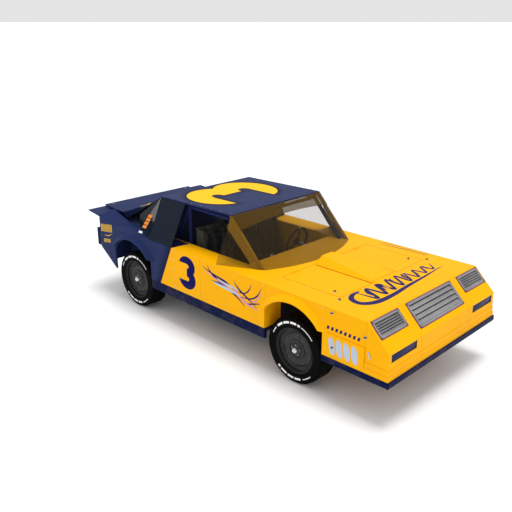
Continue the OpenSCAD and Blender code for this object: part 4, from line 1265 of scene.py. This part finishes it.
def makeFuelCell():
    low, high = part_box("fuel_cell")
    shape = Shape()
    shape.box(low + Vector((0.002, 0.002, 0.0)), high - Vector((0.002, 0.002, 0.010)), "black", 0.02)
    for y in (-0.18, 0.18):
        shape.box((low.x, y - 0.02, high.z - 0.012), (high.x, y + 0.02, high.z - 0.004), "bright", 0.002)
        for x in (low.x, high.x - 0.004):
            shape.box((x, y - 0.02, low.z), (x + 0.004, y + 0.02, high.z - 0.005), "bright", 0.001)
    mid = (low + high) / 2
    shape.lathe(((0, 0), (0.09, 0), (0.09, 0.006), (0.055, 0.010), (0.055, 0.034), (0.048, 0.040),
                 (0, 0.042)),
                standing((mid.x, 0, high.z - 0.012), (0, 0, 1)), "bright", 40)
    shape.tube([(mid.x + 0.10, 0.10, high.z - 0.015), (mid.x + 0.12, 0.12, high.z + 0.06),
                (mid.x + 0.20, 0.18, high.z + 0.07), (high.x - 0.01, 0.22, high.z + 0.0)], 0.009, "hose", 8)
    cell = shape.finish("fuelCell", "root", "engine_iron")
    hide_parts("fuel_cell")


makeEngine()
makeFuelCell()
print("engine and fuel cell made")


cockpitLook = {"dials": 5, "dialRadius": 0.036}


def makeCockpit():
    shape = Shape()
    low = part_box("dashboard")[0]
    # gauge panel on the driver's side with dials, switches and a tachometer
    faceX = low.x
    shape.box((faceX - 0.010, 0.16, 0.775), (faceX + 0.001, 0.64, 0.920), "grille", 0.003)
    for k in range(cockpitLook["dials"]):
        y = 0.20 + 0.10 * k
        if abs(y - 0.40) < 0.02:
            continue
        back = standing((faceX - 0.010, y, 0.865), (-1, 0, 0))
        radius = cockpitLook["dialRadius"]
        shape.lathe([(radius - 0.004, -0.001), (radius - 0.004, 0.006), (radius, 0.008),
                     (radius + 0.003, 0.004), (radius + 0.003, -0.001)], back, "bright", 40, ring=True)
        shape.lathe(((0, 0.0005), (radius - 0.0045, 0.0005), (radius - 0.0045, 0.0025), (0, 0.0025)),
                    back, "black", 32)
        shape.box((-0.0012, -0.004, 0.0026), (0.0012, radius * 0.7, 0.0036), "orangeVinyl", 0,
                  back @ Matrix.Rotation(0.7 * k - 1.2, 4, "Z"))
    for k in range(6):
        y = 0.19 + 0.034 * k
        shape.tube([(faceX - 0.010, y, 0.800), (faceX - 0.028, y, 0.808)], 0.0032, "bright", 8, smoothing=0)
    # gear lever, tunnel boot, pedals and extinguisher
    shape.tube([(-0.02, 0.06, 0.25), (-0.03, 0.07, 0.42), (-0.01, 0.09, 0.56), (0.0, 0.10, 0.62)],
               0.009, "bright", 10)
    shape.lathe(((0, -0.024), (0.016, -0.020), (0.024, 0), (0.016, 0.020), (0, 0.024)),
                standing((0.0, 0.10, 0.64), (0, 0, 1)), "black", 24)
    shape.lathe(((0.0, 0), (0.075, 0), (0.06, 0.018), (0.05, 0.022), (0.04, 0.040), (0.03, 0.044),
                 (0.012, 0.07),
                 (0, 0.07)), standing((-0.02, 0.06, 0.25), (0, 0, 1)), "hose", 28)
    for y in (0.29, 0.40, 0.51):
        shape.box((0.455, y - 0.028, 0.34), (0.465, y + 0.028, 0.43), "bright", 0.003)
        shape.tube([(0.463, y, 0.42), (0.50, y, 0.56), (0.56, y, 0.62)], 0.007, "black", 8)
    shape.lathe(((0, 0), (0.045, 0), (0.05, 0.008), (0.05, 0.24), (0.03, 0.27), (0.014, 0.28), (0.014, 0.31),
                 (0, 0.31)), standing((-0.30, -0.02, 0.30), (0, 1, 0.0)), "redCover", 32)
    for y in (0.03, 0.17):
        shape.box((-0.355, y - 0.008, 0.25), (-0.245, y + 0.008, 0.262), "bright", 0.002)
        shape.box((-0.355, y - 0.008, 0.25), (-0.349, y + 0.008, 0.31), "bright", 0.002)
        shape.box((-0.251, y - 0.008, 0.25), (-0.245, y + 0.008, 0.31), "bright", 0.002)
    # mirror under the roof's front edge
    shape.box((0.03, -0.22, 1.345), (0.042, 0.22, 1.385), "black", 0.005)
    for y in (-0.15, 0.15):
        shape.tube([(0.038, y, 1.38), (0.06, y, 1.405), (0.075, y, 1.412)], 0.004, "black", 8, smoothing=3)
    return shape.finish("cockpitFittings", "root", "grey_metal")


makeCockpit()


def makeHubPad():
    # padded centre and quick-release collar on the steering wheel
    tilt = math.radians(12)
    axis = Vector((-math.cos(tilt), 0, math.sin(tilt)))
    face = Vector((0.075, 0.400, 0.870)) + axis * 0.001
    shape = Shape()
    stand = standing(face, axis)
    shape.lathe(((0, 0), (0.044, 0), (0.048, 0.006), (0.046, 0.014), (0.034, 0.020), (0, 0.022)),
                stand, "black", 36)
    shape.tube([stand @ Vector((0.180 * math.cos(a), 0.180 * math.sin(a), 0))
                for a in (math.radians(84), math.radians(90), math.radians(96))], 0.0146, "yellowVinyl", 16,
               smoothing=4)
    return shape.finish("steeringPad", "steering_wheel", "steering_grip")


makeHubPad()
print("cockpit fitted")


padLook = {"voxel": 0.006, "pressure": 4.0, "cap": 0.024, "frames": 20, "shrink": 0.010,
           "channel": 0.0055, "channelWidth": 0.007, "bolster": 0.125}


def slabMesh(name, outline, half):  # closed pad blank: side outline in X and Z, drawn out along Y
    work = bmesh.new()
    sides = []
    for y in (-half, half):
        sides.append([work.verts.new((p[0], y, p[1])) for p in outline])
    work.faces.new(sides[0])
    work.faces.new(sides[1])
    count = len(outline)
    for k in range(count):
        j = (k + 1) % count
        work.faces.new((sides[0][k], sides[0][j], sides[1][j], sides[1][k]))
    bmesh.ops.recalc_face_normals(work, faces=work.faces)
    bmesh.ops.bevel(work, geom=list(work.edges), offset=0.014, segments=3, profile=0.5, affect="EDGES")
    mesh = bpy.data.meshes.new(name)
    work.to_mesh(mesh)
    work.free()
    return mesh


def swell(name, mesh):  # voxel remesh, cloth under pressure, then the moves are capped
    blank = bpy.data.objects.new(name, mesh)
    scene.collection.objects.link(blank)
    remesh = blank.modifiers.new("remesh", "REMESH")
    remesh.mode = "VOXEL"
    remesh.voxel_size = padLook["voxel"]
    bpy.context.view_layer.update()
    dense = bpy.data.meshes.new_from_object(blank.evaluated_get(bpy.context.evaluated_depsgraph_get()))
    bpy.data.objects.remove(blank)
    work = bpy.data.objects.new(name, dense)
    scene.collection.objects.link(work)
    start = [v.co.copy() for v in dense.vertices]
    cloth = work.modifiers.new("cloth", "CLOTH")
    cloth.settings.quality = 5
    cloth.settings.mass = 0.25
    cloth.settings.tension_stiffness = 24
    cloth.settings.compression_stiffness = 24
    cloth.settings.bending_stiffness = 1.2
    cloth.settings.use_pressure = True
    cloth.settings.uniform_pressure_force = padLook["pressure"]
    cloth.settings.effector_weights.gravity = 0
    cloth.collision_settings.use_collision = False
    cloth.point_cache.frame_start = 1
    cloth.point_cache.frame_end = padLook["frames"]
    for k in range(1, padLook["frames"] + 1):
        scene.frame_set(k)
    ready = work.evaluated_get(bpy.context.evaluated_depsgraph_get())
    moved = [v.co.copy() for v in ready.data.vertices]
    bpy.data.objects.remove(work)
    scene.frame_set(1)
    for vertex, before, after in zip(dense.vertices, start, moved):
        step = after - before
        if step.length > padLook["cap"]:
            step = step.normalized() * padLook["cap"]
        vertex.co = before + step
    return dense


def sewPad(mesh, along, places, out):
    # sewn channels across the pad and seams beside the bolsters, pressed in along its facing
    depth, width = padLook["channel"], padLook["channelWidth"]
    out = Vector(out).normalized()
    along = Vector(along).normalized()
    mesh.update()
    for vertex, normal in zip(mesh.vertices, [n.vector.copy() for n in mesh.vertex_normals]):
        front = max(0.0, normal.dot(out))
        if front < 0.15:
            continue
        spot = vertex.co.dot(along)
        side = abs(vertex.co.y)
        dip = 0.0
        if side < padLook["bolster"]:
            for place in places:
                dip = max(dip, math.exp(-((spot - place) / width) ** 2))
        dip = max(dip, math.exp(-((side - padLook["bolster"]) / width) ** 2))
        swellOut = 0.012 * max(0.0, 1 - ((side - 0.150) / 0.030) ** 2) if side > padLook["bolster"] else 0
        vertex.co += out * (swellOut * front - depth * dip * front)
    return mesh


def makeSeatPads():
    low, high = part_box("seat_pad_left")
    front, back = high.x, low.x
    base, top = low.z, high.z
    half = (high.y - low.y) / 2 - padLook["shrink"]
    # outlines follow the pan and the shell's back, a little inside the pad's own space
    cushion = ((front - 0.012, base + 0.058), (back + 0.062, base + 0.022), (back + 0.085, base + 0.066),
               (front - 0.012, base + 0.100))
    backrest = ((back + 0.046, base + 0.085), (back + 0.010, top - 0.012), (back + 0.046, top - 0.018),
                (back + 0.082, base + 0.095))
    forms = []
    for label, outline in (("cushion", cushion), ("backrest", backrest)):
        mesh = swell("pad" + label, slabMesh("pad" + label, outline, half))
        if label == "cushion":
            run = Vector((front - back, 0, 0.038)).normalized()
            out = Vector((-run.z, 0, run.x))
        else:
            run = Vector((-0.036, 0, top - base - 0.097)).normalized()
            out = Vector((run.z, 0, -run.x))
        spots = [v.co.dot(run) for v in mesh.vertices]
        start, end = min(spots), max(spots)
        count = 4 if label == "cushion" else 7
        places = [start + (end - start) * (k + 1) / (count + 1) for k in range(count)]
        forms.append(sewPad(mesh, run, places, out))
    for side, label in ((1, "left"), (-1, "right")):
        work = bmesh.new()
        for form in forms:
            work.from_mesh(form)
        bmesh.ops.translate(work, vec=(0, side * 0.400, 0), verts=work.verts)
        mesh = bpy.data.meshes.new("seatPad_" + label)
        work.to_mesh(mesh)
        work.free()
        mesh.materials.clear()
        mesh.materials.append(finishes["padMix"])
        mesh.polygons.foreach_set("use_smooth", [True] * len(mesh.polygons))
        pad = bpy.data.objects.new("seatPad_" + label, mesh)
        scene.collection.objects.link(pad)
        finer = pad.modifiers.new("finer", "SUBSURF")
        finer.levels = finer.render_levels = 1
        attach(pad, "root")
        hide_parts("seat_pad_" + label)


def padMixPaint():  # black woven middle, grey-green vinyl on the bolsters
    paint = Paint("padMix", {"Sheen Weight": 0.2, "Sheen Roughness": 0.5})
    side = abs(abs(paint.y) - 0.400)
    vinyl = side.ramp(padLook["bolster"] - 0.003, padLook["bolster"] + 0.003)
    pitch = 2 * math.pi / 0.0036
    cloth = (paint.y * pitch).math("SINE") * ((paint.x + paint.z) * pitch).math("SINE")
    dust = paint.noise(16.0, 4.0)
    base = paint.mix(cloth.ramp(-0.4, 0.6), linear(12, 12, 14), linear(36, 36, 40))
    base = paint.mix(dust.ramp(0.5, 0.8) * 0.25, base, linear(74, 72, 66))
    hide = paint.mix(dust.ramp(0.3, 0.8), linear(84, 86, 76), linear(104, 106, 94))
    paint.feed("Base Color", paint.mix(vinyl, base, hide))
    paint.feed("Roughness", 0.85 - vinyl * 0.35)
    grain = paint.noise(420.0, 2.0)
    paint.bump(cloth * (1 - vinyl) + grain * vinyl * 0.8, 0.45, 0.0006)
    return paint.material


finishes["padMix"] = padMixPaint()
makeSeatPads()
print("seat pads made")


def makeBelts():
    # flat webbing over each seat, with buckles where the straps meet
    shape = Shape()
    low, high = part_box("seat_pad_left")
    for side in (-1, 1):
        y = side * 0.400
        for lean in (-1, 1):
            # shoulder strap, from behind the backrest down to the buckle
            path = [(low.x - 0.02, y + lean * 0.075, high.z + 0.012),
                    (low.x + 0.055, y + lean * 0.075, high.z + 0.008),
                    (low.x + 0.122, y + lean * 0.072, high.z - 0.10),
                    (low.x + 0.142, y + lean * 0.060, high.z - 0.30),
                    (low.x + 0.165, y + lean * 0.040, high.z - 0.50),
                    (low.x + 0.20, y + lean * 0.020, high.z - 0.545)]
            flatStrap(shape, path, (0, 1, 0), 0.046, "blackWeb")
            lap = [(low.x + 0.07, y + lean * 0.178, low.z + 0.14),
                   (low.x + 0.14, y + lean * 0.13, low.z + 0.165),
                   (low.x + 0.19, y + lean * 0.06, low.z + 0.155),
                   (low.x + 0.205, y + lean * 0.010, low.z + 0.15)]
            flatStrap(shape, lap, (0, 0.2 * lean, 1), 0.046, "blackWeb")
        buckle = standing((low.x + 0.212, y, low.z + 0.155), (1, 0, 0.9))
        shape.lathe(((0, -0.006), (0.034, -0.006), (0.037, 0.0), (0.034, 0.008), (0.018, 0.012), (0, 0.012)),
                    buckle, "bright", 32)
    return shape.finish("harness", "root", "seat_fabric")


def flatStrap(shape, points, across, width, finish):
    path = smoothPath(points, 8, False)
    work = bmesh.new()
    rows = [[], [], [], []]
    count = len(path)
    for k, point in enumerate(path):
        along = (path[min(k + 1, count - 1)] - path[max(k - 1, 0)]).normalized()
        side = Vector(across)
        side = (side - along * side.dot(along)).normalized()
        out = along.cross(side) * 0.0012
        for rowVerts, corner in zip(rows, (side * width / 2 - out, side * -width / 2 - out,
                                           side * -width / 2 + out, side * width / 2 + out)):
            rowVerts.append(work.verts.new(point + corner))
    for first, second in zip(rows, rows[1:] + rows[:1]):
        for k in range(count - 1):
            work.faces.new((first[k], first[k + 1], second[k + 1], second[k]))
    for k in (0, count - 1):
        work.faces.new([r[k] for r in rows])
    shape.add(work, finish)


finishes["blackWeb"] = weavePaint("blackWeb", linear(16, 16, 20), linear(40, 40, 46), 0.8)
makeBelts()
print("harness made")
